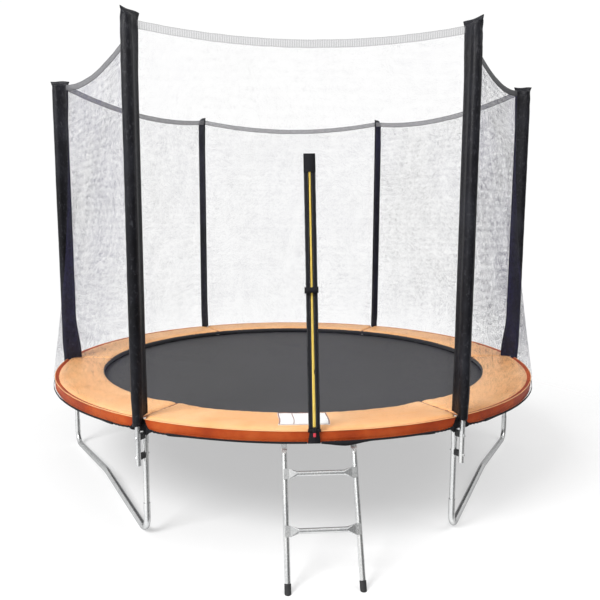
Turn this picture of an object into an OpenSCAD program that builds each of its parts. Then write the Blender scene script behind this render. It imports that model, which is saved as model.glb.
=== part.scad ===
// Round backyard trampoline with six enclosure poles, safety net, spring
// cover and a two-step ladder. Millimetres, +Z up. The origin is the centre
// of the jumping mat's top face; the door and the ladder are on the -Y side.

/* [Ring and legs] */
// Radius of the top ring, to the tube's centre line
ring_r = 1500; // [1450:10:1550]
// Outside diameter of the ring tube
ring_od = 38; // [36:1:40]
// Wall of the ring tube
ring_wall = 1.5; // [1.2:0.1:1.8]
// Height of the ring's centre line above the ground
ring_z = 555; // [540:5:600]
// Outside diameter of the leg uprights
leg_od = 28; // [26:0.5:28]
// Outside diameter of the leg bases and of the welded sockets
base_od = 32; // [32:0.5:34]
// Bend radius at the corners of a leg base
base_bend_r = 75; // [60:5:90]
// Bend radius at the middle of a leg base
base_mid_r = 400; // [300:50:600]

/* [Enclosure poles] */
// Distance of the pole axes from the centre
pole_r = 1550; // [1548:1:1556]
// Outside diameter of the pole tube
pole_od = 25.4; // [24:0.2:26]
// Lower end of the poles above the ground
pole_low_z = 370; // [340:5:385]
// Upper end of the poles above the ground
pole_top_z = 2400; // [2200:50:2400]
// Outside radius of the padded sleeve
sleeve_r = 23; // [22.5:0.1:23.5]

/* [Mat, springs and spring cover] */
// Number of springs, a multiple of six
spring_count = 60; // [48:6:60]
// Radius of the mat's woven sheet
mat_r = 1306; // [1306:1:1306]
// Outside radius of a spring
spring_or = 11; // [10:0.5:11.5]
// Inner radius of the spring cover
pad_in_r = 1245; // [1240:1:1250]
// Outer radius of the spring cover
pad_out_r = 1540; // [1539:1:1541]
// Height of the cover's top above the ring's centre line
pad_top = 48; // [46:1:52]
// Depth of the cover's skirt
skirt_h = 56; // [50:1:58]

/* [Safety net] */
// Height of the net's top edge at the poles above the ground
net_top_z = 2410; // [2200:10:2410]
// Sag of the net's top edge between two poles
net_sag = 72; // [20:2:90]
// Radius of the net's lower edge, outside the cover's skirt
net_low_r = 1546; // [1545:0.5:1547]
// Height of the band sewn along the net's top edge
hem_h = 36; // [25:1:45]
// Width of each black zip tape
tape_w = 25; // [22:0.5:26]

/* [Ladder] */
// Turn of the ladder from the front, about the centre
ladder_turn = 2.7; // [2:0.1:3.4]
// Spacing of the two rails
rail_gap = 315; // [290:5:330]
// Outside diameter of the rail and step tubes
rail_od = 25; // [22:0.5:26]
// Reach of the ladder's feet from the centre
ladder_reach = 1800; // [1740:10:1840]
// Height of the lower step above the ground
step_low_z = 210; // [190:5:220]
// Height of the upper step above the ground
step_high_z = 417; // [390:1:425]

/* [Hidden] */
$fn = 64;
mat_top = ring_z + 1.5;
pad_z = ring_z + pad_top;
ring_id = ring_od - 2 * ring_wall;
sock_id = leg_od + 0.4;
spring_step = 360 / spring_count;
// Turn of the rail joints from the midpoint lines' pole azimuths
joint_off = 1.5 * spring_step;
// Reach of a sleeve's seam inwards from the pole axis
seam_reach = 62;
seam_r = pole_r - seam_reach;
// The two bolts that hold each pole to its leg
bolt_low_z = 410;
bolt_high_z = 505;
bolt_hole_r = 3.3;

NODES = [
    "top_rail_1", "top_rail_2", "top_rail_3", "top_rail_4", "top_rail_5", "top_rail_6",
    "leg_upright_1", "leg_upright_2", "leg_upright_3",
    "leg_upright_4", "leg_upright_5", "leg_upright_6",
    "leg_base_rear", "leg_base_left", "leg_base_right",
    "pole_lower_1", "pole_lower_2", "pole_lower_3", "pole_lower_4", "pole_lower_5", "pole_lower_6",
    "pole_upper_1", "pole_upper_2", "pole_upper_3", "pole_upper_4", "pole_upper_5", "pole_upper_6",
    "pole_sleeve_1", "pole_sleeve_2", "pole_sleeve_3",
    "pole_sleeve_4", "pole_sleeve_5", "pole_sleeve_6",
    "pole_foam", "pole_spacers", "pole_bolts", "pole_nuts",
    "springs", "pad_foam", "pad_cover",
    "safety_net", "net_top_hem", "net_bottom_hem",
    "zip_tape", "zip_coil", "zip_end", "door_base_tab",
    "jump_mat", "mat_webbing", "mat_tabs", "mat_v_rings",
    "ladder_rail_left", "ladder_rail_right", "ladder_step_upper", "ladder_step_lower",
    "ladder_feet", "ladder_bolts",
    "zip_slider", "zip_pull", "keeper_strap"
];
node = "all";

steel = [0.80, 0.81, 0.82];
dark_steel = [0.25, 0.25, 0.27];
mid_grey = [0.5, 0.5, 0.52];
black = [0.08, 0.08, 0.09];
mat_grey = [0.2, 0.2, 0.22];
cover_orange = [0.93, 0.45, 0.16];
net_grey = [0.85, 0.85, 0.88, 0.4];
coil_yellow = [0.95, 0.85, 0.3];
pull_red = [0.8, 0.1, 0.15];

// ---------- general helpers ----------

// Heights above the ground, moved into the frame of the mat's top
module ground() { translate([0, 0, -mat_top]) children(); }
module at_pole(k) { rotate([0, 0, 60 * (k - 1)]) children(); }
module at_poles() { for (k = [1 : 6]) at_pole(k) children(); }

// A cylinder along +X
module rod_x(r, x0, x1) { translate([x0, 0, 0]) rotate([0, 90, 0]) cylinder(r = r, h = x1 - x0); }
// A cylinder along +Y
module rod_y(r, y0, y1) { translate([0, y0, 0]) rotate([-90, 0, 0]) cylinder(r = r, h = y1 - y0); }
// A straight wire between two points
module wire(from, to, r) {
    run = to - from;
    len = norm(run);
    translate(from) rotate([0, acos(run[2] / len), atan2(run[1], run[0])])
        cylinder(r = r, h = len, $fn = 24);
}
// A piece of torus about Z
module torus_part(centre_r, r, start, sweep) {
    rotate([0, 0, start]) rotate_extrude(angle = sweep, $fn = 180)
        translate([centre_r, 0]) circle(r = r, $fn = 48);
}

// A round tube along a path that starts at the origin and heads up +Z.
// [0, len] is a straight; [R, a] is a bend of radius R through a degrees in
// the XZ plane, towards +X when a is positive. A bend is cut off square at
// its end, so that the next piece meets it face to face.
module path_tube(path, outer_r, inner_r, k = 0) {
    if (k < len(path)) {
        bend_r = path[k][0];
        if (bend_r == 0) {
            run = path[k][1];
            linear_extrude(run) difference() {
                circle(r = outer_r);
                circle(r = inner_r);
            }
            translate([0, 0, run]) path_tube(path, outer_r, inner_r, k + 1);
        } else {
            flip = path[k][1] < 0 ? 180 : 0;
            turn = abs(path[k][1]);
            end = [bend_r * (1 - cos(turn)), 0, bend_r * sin(turn)];
            rotate([0, 0, flip]) {
                difference() {
                    translate([bend_r, 0, 0]) rotate([0, 0, 180]) rotate([90, 0, 0])
                        rotate_extrude(angle = ceil(turn) + 5, $fn = 96) translate([bend_r, 0])
                            difference() {
                                circle(r = outer_r, $fn = 48);
                                circle(r = inner_r, $fn = 48);
                            }
                    translate(end) rotate([0, turn, 0]) translate([-30, -30, 0]) cube([60, 60, 60]);
                }
                translate(end) rotate([0, turn, 0]) rotate([0, 0, flip])
                    path_tube(path, outer_r, inner_r, k + 1);
            }
        }
    }
}

// Radial bolt holes through an upright tube
module bolt_holes(axis_r, heights = [bolt_low_z, bolt_high_z]) {
    for (z = heights) translate([0, 0, z]) rod_x(bolt_hole_r, axis_r - 20, axis_r + 20);
}

// ---------- steel frame ----------

// One sixth of the ring, with its welded socket under the pole's azimuth
// and a swaged end that slips into the next rail.
module top_rail(k) {
    start = 60 * (k - 2) + joint_off;
    swage_sweep = 2.2;
    swage_wall = 1.6;
    sock_low_z = 465;
    inner_x = ring_r - ring_od / 2;
    color(steel) ground() difference() {
        union() {
            translate([0, 0, ring_z]) difference() {
                union() {
                    torus_part(ring_r, ring_od / 2, start, 60);
                    torus_part(ring_r, ring_id / 2 - 0.05, start + 59.8, swage_sweep + 0.2);
                }
                torus_part(ring_r, ring_id / 2, start - 0.1, 59.8);
                torus_part(ring_r, ring_id / 2 - swage_wall, start + 59, swage_sweep + 1.5);
            }
            at_pole(k) difference() {
                translate([ring_r, 0, sock_low_z]) cylinder(r = base_od / 2, h = ring_z - sock_low_z);
                translate([0, 0, ring_z]) torus_part(ring_r, ring_od / 2 - 0.3, -2, 4);
                translate([ring_r, 0, sock_low_z - 1])
                    cylinder(r = sock_id / 2, h = ring_z - sock_low_z + 1 - ring_od / 2 + 0.2);
            }
        }
        // spring holes on the inner side
        for (j = [0 : spring_count / 6 - 1])
            rotate([0, 0, start + spring_step * (j + 0.5)]) translate([0, 0, ring_z])
                rod_x(3.5, inner_x - 2, inner_x + 6);
        at_pole(k) bolt_holes(ring_r, [bolt_high_z]);
    }
}

// A leg's straight upper tube, from inside the base to inside the socket
module leg_upright(k) {
    low_z = 100;
    height = 425;
    wall = 1.5;
    color(steel) ground() at_pole(k) difference() {
        translate([ring_r, 0, low_z]) cylinder(r = leg_od / 2, h = height);
        translate([ring_r, 0, low_z - 1]) cylinder(r = leg_od / 2 - wall, h = height + 2);
        bolt_holes(ring_r);
    }
}

// A leg's base: two socket ends and two feet, joined by a bar that rises to a
// gentle bend at its middle. The socket ends stand ring_r apart.
module leg_base(azimuth) {
    top_z = 165;
    slope = atan2(237, 3116);
    socket_len = top_z - base_od / 2 - base_bend_r;
    bar_len = (ring_r - 2 * base_bend_r * (1 + sin(slope)) - 2 * base_mid_r * sin(slope))
        / (2 * cos(slope));
    path = [[0, socket_len], [base_bend_r, 90 + slope], [0, bar_len], [base_mid_r, -slope],
            [base_mid_r, -slope], [0, bar_len], [base_bend_r, 90 + slope], [0, socket_len]];
    color(steel) ground() rotate([0, 0, azimuth])
        translate([ring_r * cos(30), -ring_r / 2, top_z])
            rotate([180, 0, 90]) path_tube(path, base_od / 2, sock_id / 2);
}

// ---------- enclosure poles ----------

pole_wall = 1.2;
// Where the upper pole meets the lower one
pole_joint_z = 1400;

// Lower pole, with a narrow spigot that enters the upper pole
module pole_lower(k) {
    spigot_z = pole_joint_z - 5;
    color(steel) ground() at_pole(k) difference() {
        union() {
            translate([pole_r, 0, pole_low_z]) cylinder(r = pole_od / 2, h = pole_joint_z - pole_low_z);
            translate([pole_r, 0, spigot_z]) cylinder(r = pole_od / 2 - pole_wall - 0.05, h = 50);
        }
        translate([pole_r, 0, pole_low_z - 1])
            cylinder(r = pole_od / 2 - pole_wall, h = spigot_z - pole_low_z);
        translate([pole_r, 0, spigot_z - 5]) cylinder(r = pole_od / 2 - 2 * pole_wall, h = 60);
        bolt_holes(pole_r);
    }
}

module pole_upper(k) {
    height = pole_top_z - pole_joint_z;
    color(steel) ground() at_pole(k) translate([pole_r, 0, pole_joint_z]) difference() {
        cylinder(r = pole_od / 2, h = height);
        translate([0, 0, -1]) cylinder(r = pole_od / 2 - pole_wall, h = height + 2);
    }
}

// Foam tubes on the poles, inside the sleeves
module pole_foam() {
    low_z = 575;
    height = pole_top_z - 5 - low_z;
    color("gray") ground() at_poles() translate([pole_r, 0, low_z]) difference() {
        cylinder(r = sleeve_r - 1, h = height);
        translate([0, 0, -1]) cylinder(r = pole_od / 2 + 0.3, h = height + 2);
    }
}

// Section of a sleeve's fin: tip and root as [distance inwards, half width]
module fin_section(tip, root) {
    polygon([[-tip[0], -tip[1]], [-tip[0], tip[1]], [-root[0], root[1]], [-root[0], -root[1]]]);
}

// Sewn sleeve: round over the pole, tapering inwards to the seam that holds the net
module pole_sleeve(k) {
    low_z = 560;
    top_z = pole_top_z + 30;
    fin_z = pad_z + 3;
    fin_wall = 1.2;
    // the fin's sides leave the round at tangents drawn from its tip
    tangent_a = acos(sleeve_r / seam_reach);
    root_x = sleeve_r * cos(tangent_a);
    root_y = sleeve_r * sin(tangent_a);
    color(black) ground() at_pole(k) translate([pole_r, 0, 0]) difference() {
        union() {
            translate([0, 0, low_z]) cylinder(r = sleeve_r, h = top_z - low_z);
            translate([0, 0, fin_z]) linear_extrude(top_z - fin_z)
                fin_section([seam_reach, 1.5], [root_x, root_y]);
        }
        translate([0, 0, low_z - 1]) cylinder(r = sleeve_r - 0.7, h = top_z - low_z - 1);
        translate([0, 0, fin_z - 1]) linear_extrude(top_z - fin_z - 1)
            fin_section([seam_reach - 8, 1.2], [root_x, root_y - fin_wall]);
    }
}

// Saddle blocks between the pole and the leg
module pole_spacers() {
    // bolt height, block's middle height, its half height, radius of the tube inside
    blocks = [[bolt_low_z, 410, 12, leg_od / 2], [bolt_high_z, 508, 13, base_od / 2]];
    width = 22;
    color(black) ground() at_poles() for (b = blocks) difference() {
        translate([ring_r + 9.5, -width / 2, b[1] - b[2]])
            cube([pole_r - ring_r - 17, width, 2 * b[2]]);
        translate([ring_r, 0, b[1] - 30]) cylinder(r = b[3] + 0.05, h = 60);
        translate([pole_r, 0, b[1] - 30]) cylinder(r = pole_od / 2 + 0.05, h = 60);
        translate([0, 0, b[0]]) rod_x(bolt_hole_r, ring_r, pole_r);
    }
}

module pole_bolts() {
    head_r = 6.5;
    head_x = pole_r + pole_od / 2;
    color(dark_steel) ground() at_poles() for (z = [bolt_low_z, bolt_high_z]) translate([0, 0, z]) {
        rod_x(3, ring_r - 24, head_x + 1);
        translate([head_x + 0.02, 0, 0]) rotate([0, 90, 0]) {
            cylinder(r = head_r, h = 2.5);
            translate([0, 0, 2.5]) cylinder(r1 = head_r, r2 = 4, h = 2);
        }
    }
}

// Hexagon nuts on the inner side of the legs
module pole_nuts() {
    nut_h = 5;
    // bolt height, radius of the tube behind the nut
    seats = [[bolt_low_z, leg_od / 2], [bolt_high_z, base_od / 2]];
    color(steel) ground() at_poles() for (seat = seats)
        translate([ring_r - seat[1] - nut_h - 0.02, 0, seat[0]]) rotate([0, 90, 0]) difference() {
            cylinder(r = 5.8, h = nut_h, $fn = 6);
            translate([0, 0, -1]) cylinder(r = 3.05, h = nut_h + 2, $fn = 32);
        }
}

// ---------- springs, mat and cover ----------

// Ends of a spring's coil body, as distances from the centre
spring_r0 = 1352;
spring_r1 = 1462;
// Line of the tabs' cross bars
tab_bar_r = mat_r + 7;

module at_springs() {
    for (i = [0 : spring_count - 1]) rotate([0, 0, spring_step * i])
        translate([0, 0, ring_z]) children();
}

// One spring: a coil body with closed ends and a hook at each end
module spring() {
    wall = 2.3;
    hook_r = 1.6;
    bore_r = spring_or - wall;
    rotate([0, 90, 0]) rotate_extrude($fn = 48) polygon([
        [0, spring_r0], [spring_or, spring_r0], [spring_or, spring_r1], [0, spring_r1],
        [0, spring_r1 - wall], [bore_r, spring_r1 - wall],
        [bore_r, spring_r0 + wall], [0, spring_r0 + wall]]);
    // hook in the V-ring
    translate([0, 0, 4.5]) rod_x(hook_r, spring_r0 - 17, spring_r0 + 1, $fn = 24);
    translate([spring_r0 - 16, 0, -5]) cylinder(r = hook_r, h = 11, $fn = 24);
    // hook in the ring
    rod_x(hook_r, spring_r1 - 1, ring_r - 11.4, $fn = 24);
    translate([ring_r - 13, 0, -9]) cylinder(r = hook_r, h = 10, $fn = 24);
}
module springs() { color(steel) ground() at_springs() spring(); }

// Woven sheet, with a second disc on top inside the cover's inner edge
module jump_mat() {
    color(mat_grey) ground() {
        translate([0, 0, mat_top - 3]) cylinder(r = mat_r, h = 2, $fn = 180);
        translate([0, 0, mat_top - 1.5]) cylinder(r = pad_in_r - 10, h = 1.5, $fn = 180);
    }
}

// Webbing sewn round the mat's edge
module mat_webbing() {
    width = 52;
    color(black) ground() translate([0, 0, mat_top - 1]) difference() {
        cylinder(r = mat_r, h = 1.8, $fn = 180);
        translate([0, 0, -1]) cylinder(r = mat_r - width, h = 4, $fn = 180);
    }
}

// Webbing loops that hold the V-rings
module mat_tabs() {
    width = 22;
    color(black) ground() at_springs() difference() {
        translate([mat_r, -width / 2, -3]) cube([13.5, width, 6]);
        translate([tab_bar_r, 0, 0]) rod_y(2, -width / 2 - 1, width / 2 + 1, $fn = 24);
    }
}

module mat_v_rings() {
    wire_r = 1.9;
    tip_x = tab_bar_r + 29;
    color(steel) ground() at_springs() {
        translate([tab_bar_r, 0, 0]) rod_y(wire_r, -18.5, 18.5, $fn = 24);
        for (side = [-1, 1]) wire([tab_bar_r, 17 * side, 0], [tip_x, 5 * side, 0], wire_r);
        translate([tip_x, 0, 0]) rod_y(wire_r, -6.5, 6.5, $fn = 24);
    }
}

// Six foam segments inside the spring cover
module pad_foam() {
    end_gap = 0.05; // degrees
    color("wheat") ground() at_poles() difference() {
        rotate([0, 0, end_gap]) rotate_extrude(angle = 60 - 2 * end_gap, $fn = 180)
            translate([pad_in_r + 5, ring_z + 26]) square([pad_out_r - pad_in_r - 11, pad_top - 27.5]);
        for (a = [0, 60]) rotate([0, 0, a])
            translate([pole_r, 0, ring_z + 10]) cylinder(r = 30, h = 60);
    }
}

// Cover skin with a hanging skirt, notched round each pole
module pad_cover() {
    skin = 1;
    skirt_z = pad_z - skirt_h;
    notch_w = 84;
    color(cover_orange) ground() difference() {
        rotate_extrude($fn = 180) polygon([
            [pad_in_r, pad_z - skin], [pad_in_r, pad_z], [pad_out_r, pad_z], [pad_out_r, skirt_z],
            [pad_out_r - skin, skirt_z], [pad_out_r - skin, pad_z - skin]]);
        at_poles() {
            translate([pole_r, 0, pad_z - 10]) cylinder(r = 27, h = 20);
            translate([pad_out_r - 5, -notch_w / 2, skirt_z - 5]) cube([20, notch_w, skirt_h + 0.5]);
        }
    }
}

// ---------- safety net ----------

// Height where the net's lower strip meets its main part, and its lower edge
net_z = pad_z + 9;
net_hem_z = ring_z - 10;
// Net panel with the door, and the zip's place along it
door_panel = 4;
other_panels = [0, 1, 2, 3, 5];
zip_s = 0.5297;
zip_top_z = 1828;

function smooth(t) = let (c = min(1, max(0, t))) c * c * (3 - 2 * c);
function lerp(a, b, t) = a + (b - a) * t;
function span(a, b, n) = [for (k = [0 : n]) a + (b - a) * k / n];

// Azimuth of a panel's middle, and the angle from there to s along its lower edge
function panel_mid(panel) = 60 * panel + 30;
function panel_phi(s) = (s - 0.5) * 59.76;
// Near the poles the lower edge draws in to the seams and its strip shrinks
function low_r(phi) = lerp(seam_r, net_low_r, smooth((30 - abs(phi)) / 4.5));
function strip_part(phi) = 0.01 + 0.99 * smooth((30 - abs(phi) - 4) / 2);
function hem_z(y) = net_top_z - net_sag * (1 - pow(2 * y / seam_r, 2));
// On the door panel the top points shift sideways, which leans the zip
function top_s(panel, s) = panel == door_panel ? s - 0.0668 * s * (1 - s) : s;
function low_pt(panel, s) =
    let (phi = panel_phi(s), a = panel_mid(panel) + phi, r = low_r(phi))
    [r * cos(a), r * sin(a), net_z];
function top_pt(panel, s) =
    let (y = (top_s(panel, s) - 0.5) * (seam_r - 8), a = panel_mid(panel), x = seam_r * cos(30))
    [x * cos(a) - y * sin(a), x * sin(a) + y * cos(a), hem_z(y) - hem_h - 0.5];
// A point of a panel: s runs along the panel, v from -1 (lower edge) through
// 0 (just above the cover) to 1 (top band)
function net_pt(panel, s, v) = v >= 0 ? lerp(low_pt(panel, s), top_pt(panel, s), v)
    : low_pt(panel, s) + [0, 0, v * (net_z - net_hem_z) * strip_part(panel_phi(s))];

function quad(a, b, c, d) = [[a, b, c], [a, c, d]];

// A thin sheet over part of a panel, at the grid of s and v values given,
// between the offsets inner and outer from the net's surface
module net_sheet(panel, s_list, v_list, inner, outer) {
    cols = len(s_list);
    rows = len(v_list);
    out = [cos(panel_mid(panel)), sin(panel_mid(panel)), 0];
    grid = [for (v = v_list) for (s = s_list) net_pt(panel, s, v)];
    m = rows * cols; // index of the outer face's first point
    top = (rows - 1) * cols;
    points = concat([for (p = grid) p + out * inner], [for (p = grid) p + out * outer]);
    faces = concat(
        // outer and inner faces
        [for (r = [0 : rows - 2]) for (c = [0 : cols - 2]) let (a = r * cols + c, b = a + cols)
            each concat(quad(m + a, m + b, m + b + 1, m + a + 1), quad(a, a + 1, b + 1, b))],
        // lower and upper edges
        [for (c = [0 : cols - 2]) let (t = top + c)
            each concat(quad(m + c, m + c + 1, c + 1, c), quad(m + t + 1, m + t, t, t + 1))],
        // side edges
        [for (r = [0 : rows - 2]) let (a = r * cols, b = a + cols - 1)
            each concat(quad(m + a + cols, m + a, a, a + cols),
                        quad(m + b, m + b + cols, b + cols, b))]);
    polyhedron(points = points, faces = faces, convexity = 6);
}

// Closer stations near a panel's ends
start_s = [0, 0.025, 0.05, 0.067, 0.085];
end_s = [for (k = [4 : -1 : 0]) 1 - start_s[k]];
// Half width of the door's slot along s; 1580 mm is taken as the panel's length
zip_half_s = (tape_w + 1) / 1580;
slot_s0 = zip_s - zip_half_s;
slot_s1 = zip_s + zip_half_s;
// v at which the zip ends
zip_v = (zip_top_z - net_z) / (hem_z(0) - hem_h - net_z);

module safety_net() {
    gap = 0.0003;
    color(net_grey) ground() {
        for (panel = other_panels)
            net_sheet(panel, concat(start_s, span(0.12, 0.88, 12), end_s), [-1, 0, 1], 0, 1);
        // door panel: each side of the zip, then above it
        net_sheet(door_panel, concat(start_s, span(0.12, slot_s0 - gap, 8)), [-1, 0, 1], 0, 1);
        net_sheet(door_panel, concat(span(slot_s1 + gap, 0.88, 8), end_s), [-1, 0, 1], 0, 1);
        net_sheet(door_panel, span(slot_s0, slot_s1, 2), [zip_v + 0.0005, 1], 0, 1);
    }
}

// Band along the net's top edge, between the sleeve seams
module net_top_hem() {
    half_len = seam_r / 2 - 5;
    ys = span(-half_len, half_len, 16);
    upper = [for (y = ys) [y, hem_z(y)]];
    lower = [for (k = [16 : -1 : 0]) upper[k] - [0, hem_h]];
    color(mid_grey) ground() for (panel = [0 : 5]) rotate([0, 0, panel_mid(panel)])
        translate([seam_r * cos(30) - 0.5, 0, 0]) rotate([90, 0, 90]) linear_extrude(2.5)
            polygon(concat(upper, lower));
}

// Black binding round the net's lower edge, open at the poles and the zip
module net_bottom_hem() {
    pole_gap = 6.2; // degrees
    zip_gap = 1.3;
    door_start = 60 * door_panel + pole_gap;
    door_end = 60 * (door_panel + 1) - pole_gap;
    zip_a = panel_mid(door_panel) + panel_phi(zip_s);
    // start angle, sweep
    sectors = concat(
        [for (panel = other_panels) [60 * panel + pole_gap, 60 - 2 * pole_gap]],
        [[door_start, zip_a - zip_gap - door_start], [zip_a + zip_gap, door_end - zip_a - zip_gap]]);
    color(black) ground() for (sector = sectors) rotate([0, 0, sector[0]])
        rotate_extrude(angle = sector[1], $fn = 180)
            translate([net_low_r + 1.2, net_hem_z - 1]) square([1.5, 7]);
}

// ---------- door zip ----------

zip_base = low_pt(door_panel, zip_s);
zip_run = top_pt(door_panel, zip_s) - zip_base;
zip_dir = zip_run / norm(zip_run);
zip_end_h = 83;
// Length of the coil, which stops below the cloth end piece
coil_len = (zip_top_z - net_z) / zip_dir[2] - zip_end_h - 1;
// Local frame on the zip: z up along the coil, -y outwards, x across
module zip_frame() {
    translate(zip_base) rotate([-asin(zip_dir[1]), atan2(zip_dir[0], zip_dir[2]), 0])
        rotate([0, 0, 1.2]) children();
}

module zip_tape() {
    gap = 0.0002;
    color(black) ground() {
        net_sheet(door_panel, span(slot_s0, zip_s - gap, 2), [0, zip_v], 0, 1.2);
        net_sheet(door_panel, span(zip_s + gap, slot_s1, 2), [0, zip_v], 0, 1.2);
    }
}

module zip_coil() {
    color(coil_yellow) ground() zip_frame() translate([-4, -4.6, 0]) cube([8, 3, coil_len]);
}

// Cloth end piece above the coil
module zip_end() {
    color(black) ground() zip_frame()
        translate([-25, -3.4, coil_len + 0.5]) cube([50, 1.6, zip_end_h]);
}

// Stiff tab under the zip, on the net's lower edge
module door_base_tab() {
    thick = 1.8;
    // across, height above the ground
    outline = [[-22, 597], [22, 597], [28, 549], [-28, 549]];
    color(black) ground() rotate([0, 0, panel_phi(zip_s)]) translate([0, -net_low_r - 3.2, 0])
        rotate([90, 0, 0]) translate([0, 0, -thick]) linear_extrude(thick) polygon(outline);
}

// Slider body round the coil, with two lugs and a pin for the pull
module zip_slider() {
    color(black) ground() zip_frame() translate([0, 0, -2]) {
        difference() {
            translate([-7.5, -8, -10]) cube([15, 6.2, 20]);
            translate([-4.4, -4.9, -11]) cube([8.8, 4, 22]);
        }
        for (x = [-4.6, 3.2]) translate([x, -13.4, 2]) cube([1.4, 6, 6]);
        translate([0, -11, 5]) rod_x(1.2, -4, 4, $fn = 32);
    }
}

// Pull: an eye on the slider's pin, a neck and a flat grip
module zip_pull() {
    color(pull_red) ground() zip_frame() translate([0, -11, 3]) difference() {
        union() {
            rod_x(2.4, -2.9, 2.9, $fn = 32);
            translate([-2.9, -1, -8]) cube([5.8, 2, 8]);
            translate([-6, -1, -36]) cube([12, 2, 29]);
        }
        rod_x(1.28, -4, 4, $fn = 32);
    }
}

// Strap that bridges the coil, with a round bead at its -x end
module keeper_strap() {
    height = 30;
    middle = 615; // along the coil
    // across, depth (-y outwards)
    outline = [
        [-32.4, -3.3], [-29.6, -3.3], [-21, -15.2], [20, -15.2], [28, -3.4], [33, -3.4],
        [33, -5.4], [29.6, -5.4], [21.4, -17.4], [-22.4, -17.4]];
    color(black) ground() zip_frame() translate([0, 0, middle]) {
        translate([-31, -3.3, -height / 2]) cylinder(r = 1.6, h = height, $fn = 32);
        translate([0, 0, -height / 2]) linear_extrude(height) polygon(outline);
    }
}

// ---------- ladder ----------

// Hooks over the ring, as bent strips
hook_in_r = 21.5;
hook_thick = 4;
hook_mid_r = hook_in_r + hook_thick / 2;
// Distance of the ring's centre line in front of the centre, at the rails
hook_y = sqrt(ring_r * ring_r - rail_gap * rail_gap / 4);
// Drop from the ring's centre line to the rails' upper ends
hook_drop = 35;
rail_top_z = ring_z - hook_drop;
rail_lean = atan((ladder_reach - hook_y - hook_mid_r) / rail_top_z);
rail_len = rail_top_z / cos(rail_lean);
// Middle of the steps' flat ends in front of the rail axes, and the bolts' x
step_y = -rail_od / 2 - 2.1;
step_bolt_x = rail_gap / 2 - 2;
step_hole_r = 2.7;

module ladder_place() { ground() rotate([0, 0, ladder_turn]) children(); }
// Frame of a rail: origin at its upper end, -z down the rail, -y outwards
module rail_frame() {
    translate([0, -hook_y - hook_mid_r, rail_top_z]) rotate([-rail_lean, 0, 0]) children();
}
// Distance down the rail to a height above the ground
function down_rail(z) = (rail_top_z - z) / cos(rail_lean);

module ladder_rail(side) {
    x = side * rail_gap / 2;
    hook_w = 28;
    plate_w = 27.6;
    plate_thick = 3.6;
    color(steel) ladder_place() difference() {
        union() {
            // hook over the ring
            translate([x, -hook_y, ring_z]) rotate([0, 90, 0]) rotate([0, 0, 135])
                rotate_extrude(angle = 135, $fn = 96)
                    translate([hook_in_r, -hook_w / 2]) square([hook_thick, hook_w]);
            // upright plate below the hook
            translate([x - plate_w / 2, -hook_y - hook_mid_r - plate_thick / 2, rail_top_z - 1])
                cube([plate_w, plate_thick, hook_drop + 3]);
            // flattened neck, pressed down to a plate
            rail_frame() translate([x - hook_w / 2, -hook_thick / 2, -14])
                cube([hook_w, hook_thick, 14.6]);
            rail_frame() difference() {
                translate([x, 0, -40]) cylinder(r = rail_od / 2, h = 34);
                for (m = [0, 1]) mirror([0, m, 0])
                    translate([x - 20, rail_od / 2, -31]) rotate([22.6, 0, 0]) cube([40, 30, 60]);
            }
            rail_frame() translate([x, 0, -rail_len + 12])
                cylinder(r = rail_od / 2, h = rail_len - 12 - 36);
        }
        rail_frame() translate([x, 0, -rail_len]) cylinder(r = rail_od / 2 - 1.2, h = rail_len - 33);
        for (z = [step_low_z, step_high_z]) rail_frame()
            translate([side * step_bolt_x, 0, -down_rail(z)]) rod_y(step_hole_r, -20, 20, $fn = 32);
    }
}

// A step: a round tube whose ends are flattened and bolted to the rails
module ladder_step(z) {
    half_gap = rail_gap / 2;
    tube_y = step_y + 6;
    color(steel) ladder_place() rail_frame() translate([0, 0, -down_rail(z)]) difference() {
        union() {
            translate([0, tube_y, 0]) rod_x(rail_od / 2 - 1, -half_gap + 52, half_gap - 52);
            for (side = [-1, 1]) {
                hull() {
                    translate([side * (half_gap - 53), tube_y, 0])
                        rod_x(rail_od / 2 - 1.3, -0.5, 0.5, $fn = 32);
                    translate([side * (half_gap - 16) - 0.5, step_y - 1.8, -22.8])
                        cube([1, 3.6, 45.6]);
                }
                translate([side * (half_gap - 6) - 11.5, step_y - 2, -23]) cube([23, 4, 46]);
            }
        }
        for (side = [-1, 1])
            translate([side * step_bolt_x, 0, 0]) rod_y(step_hole_r, -30, 5, $fn = 32);
    }
}

// Caps on the rails' lower ends, cut level with the ground
module ladder_feet() {
    color(black) ladder_place() difference() {
        for (side = [-1, 1]) rail_frame() translate([side * rail_gap / 2, 0, -rail_len]) difference() {
            translate([0, 0, -12]) cylinder(r = rail_od / 2 + 1.8, h = 50);
            translate([0, 0, 11.9]) cylinder(r = rail_od / 2 + 0.05, h = 40);
        }
        translate([-400, -ladder_reach - 200, -100]) cube([800, 400, 100]);
    }
}

module ladder_bolts() {
    rail_back = rail_od / 2;
    color(mid_grey) ladder_place() for (side = [-1, 1]) for (z = [step_low_z, step_high_z])
        rail_frame() translate([side * step_bolt_x, 0, -down_rail(z)]) {
            // shank, head and nut
            rod_y(2.5, step_y - 3, rail_back + 3, $fn = 32);
            rod_y(5.5, step_y - 5.1, step_y - 2.05, $fn = 32);
            rod_y(4.6, rail_back + 0.05, rail_back + 4, $fn = 6);
        }
}

function on(name) = node == "all" || node == name;

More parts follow.
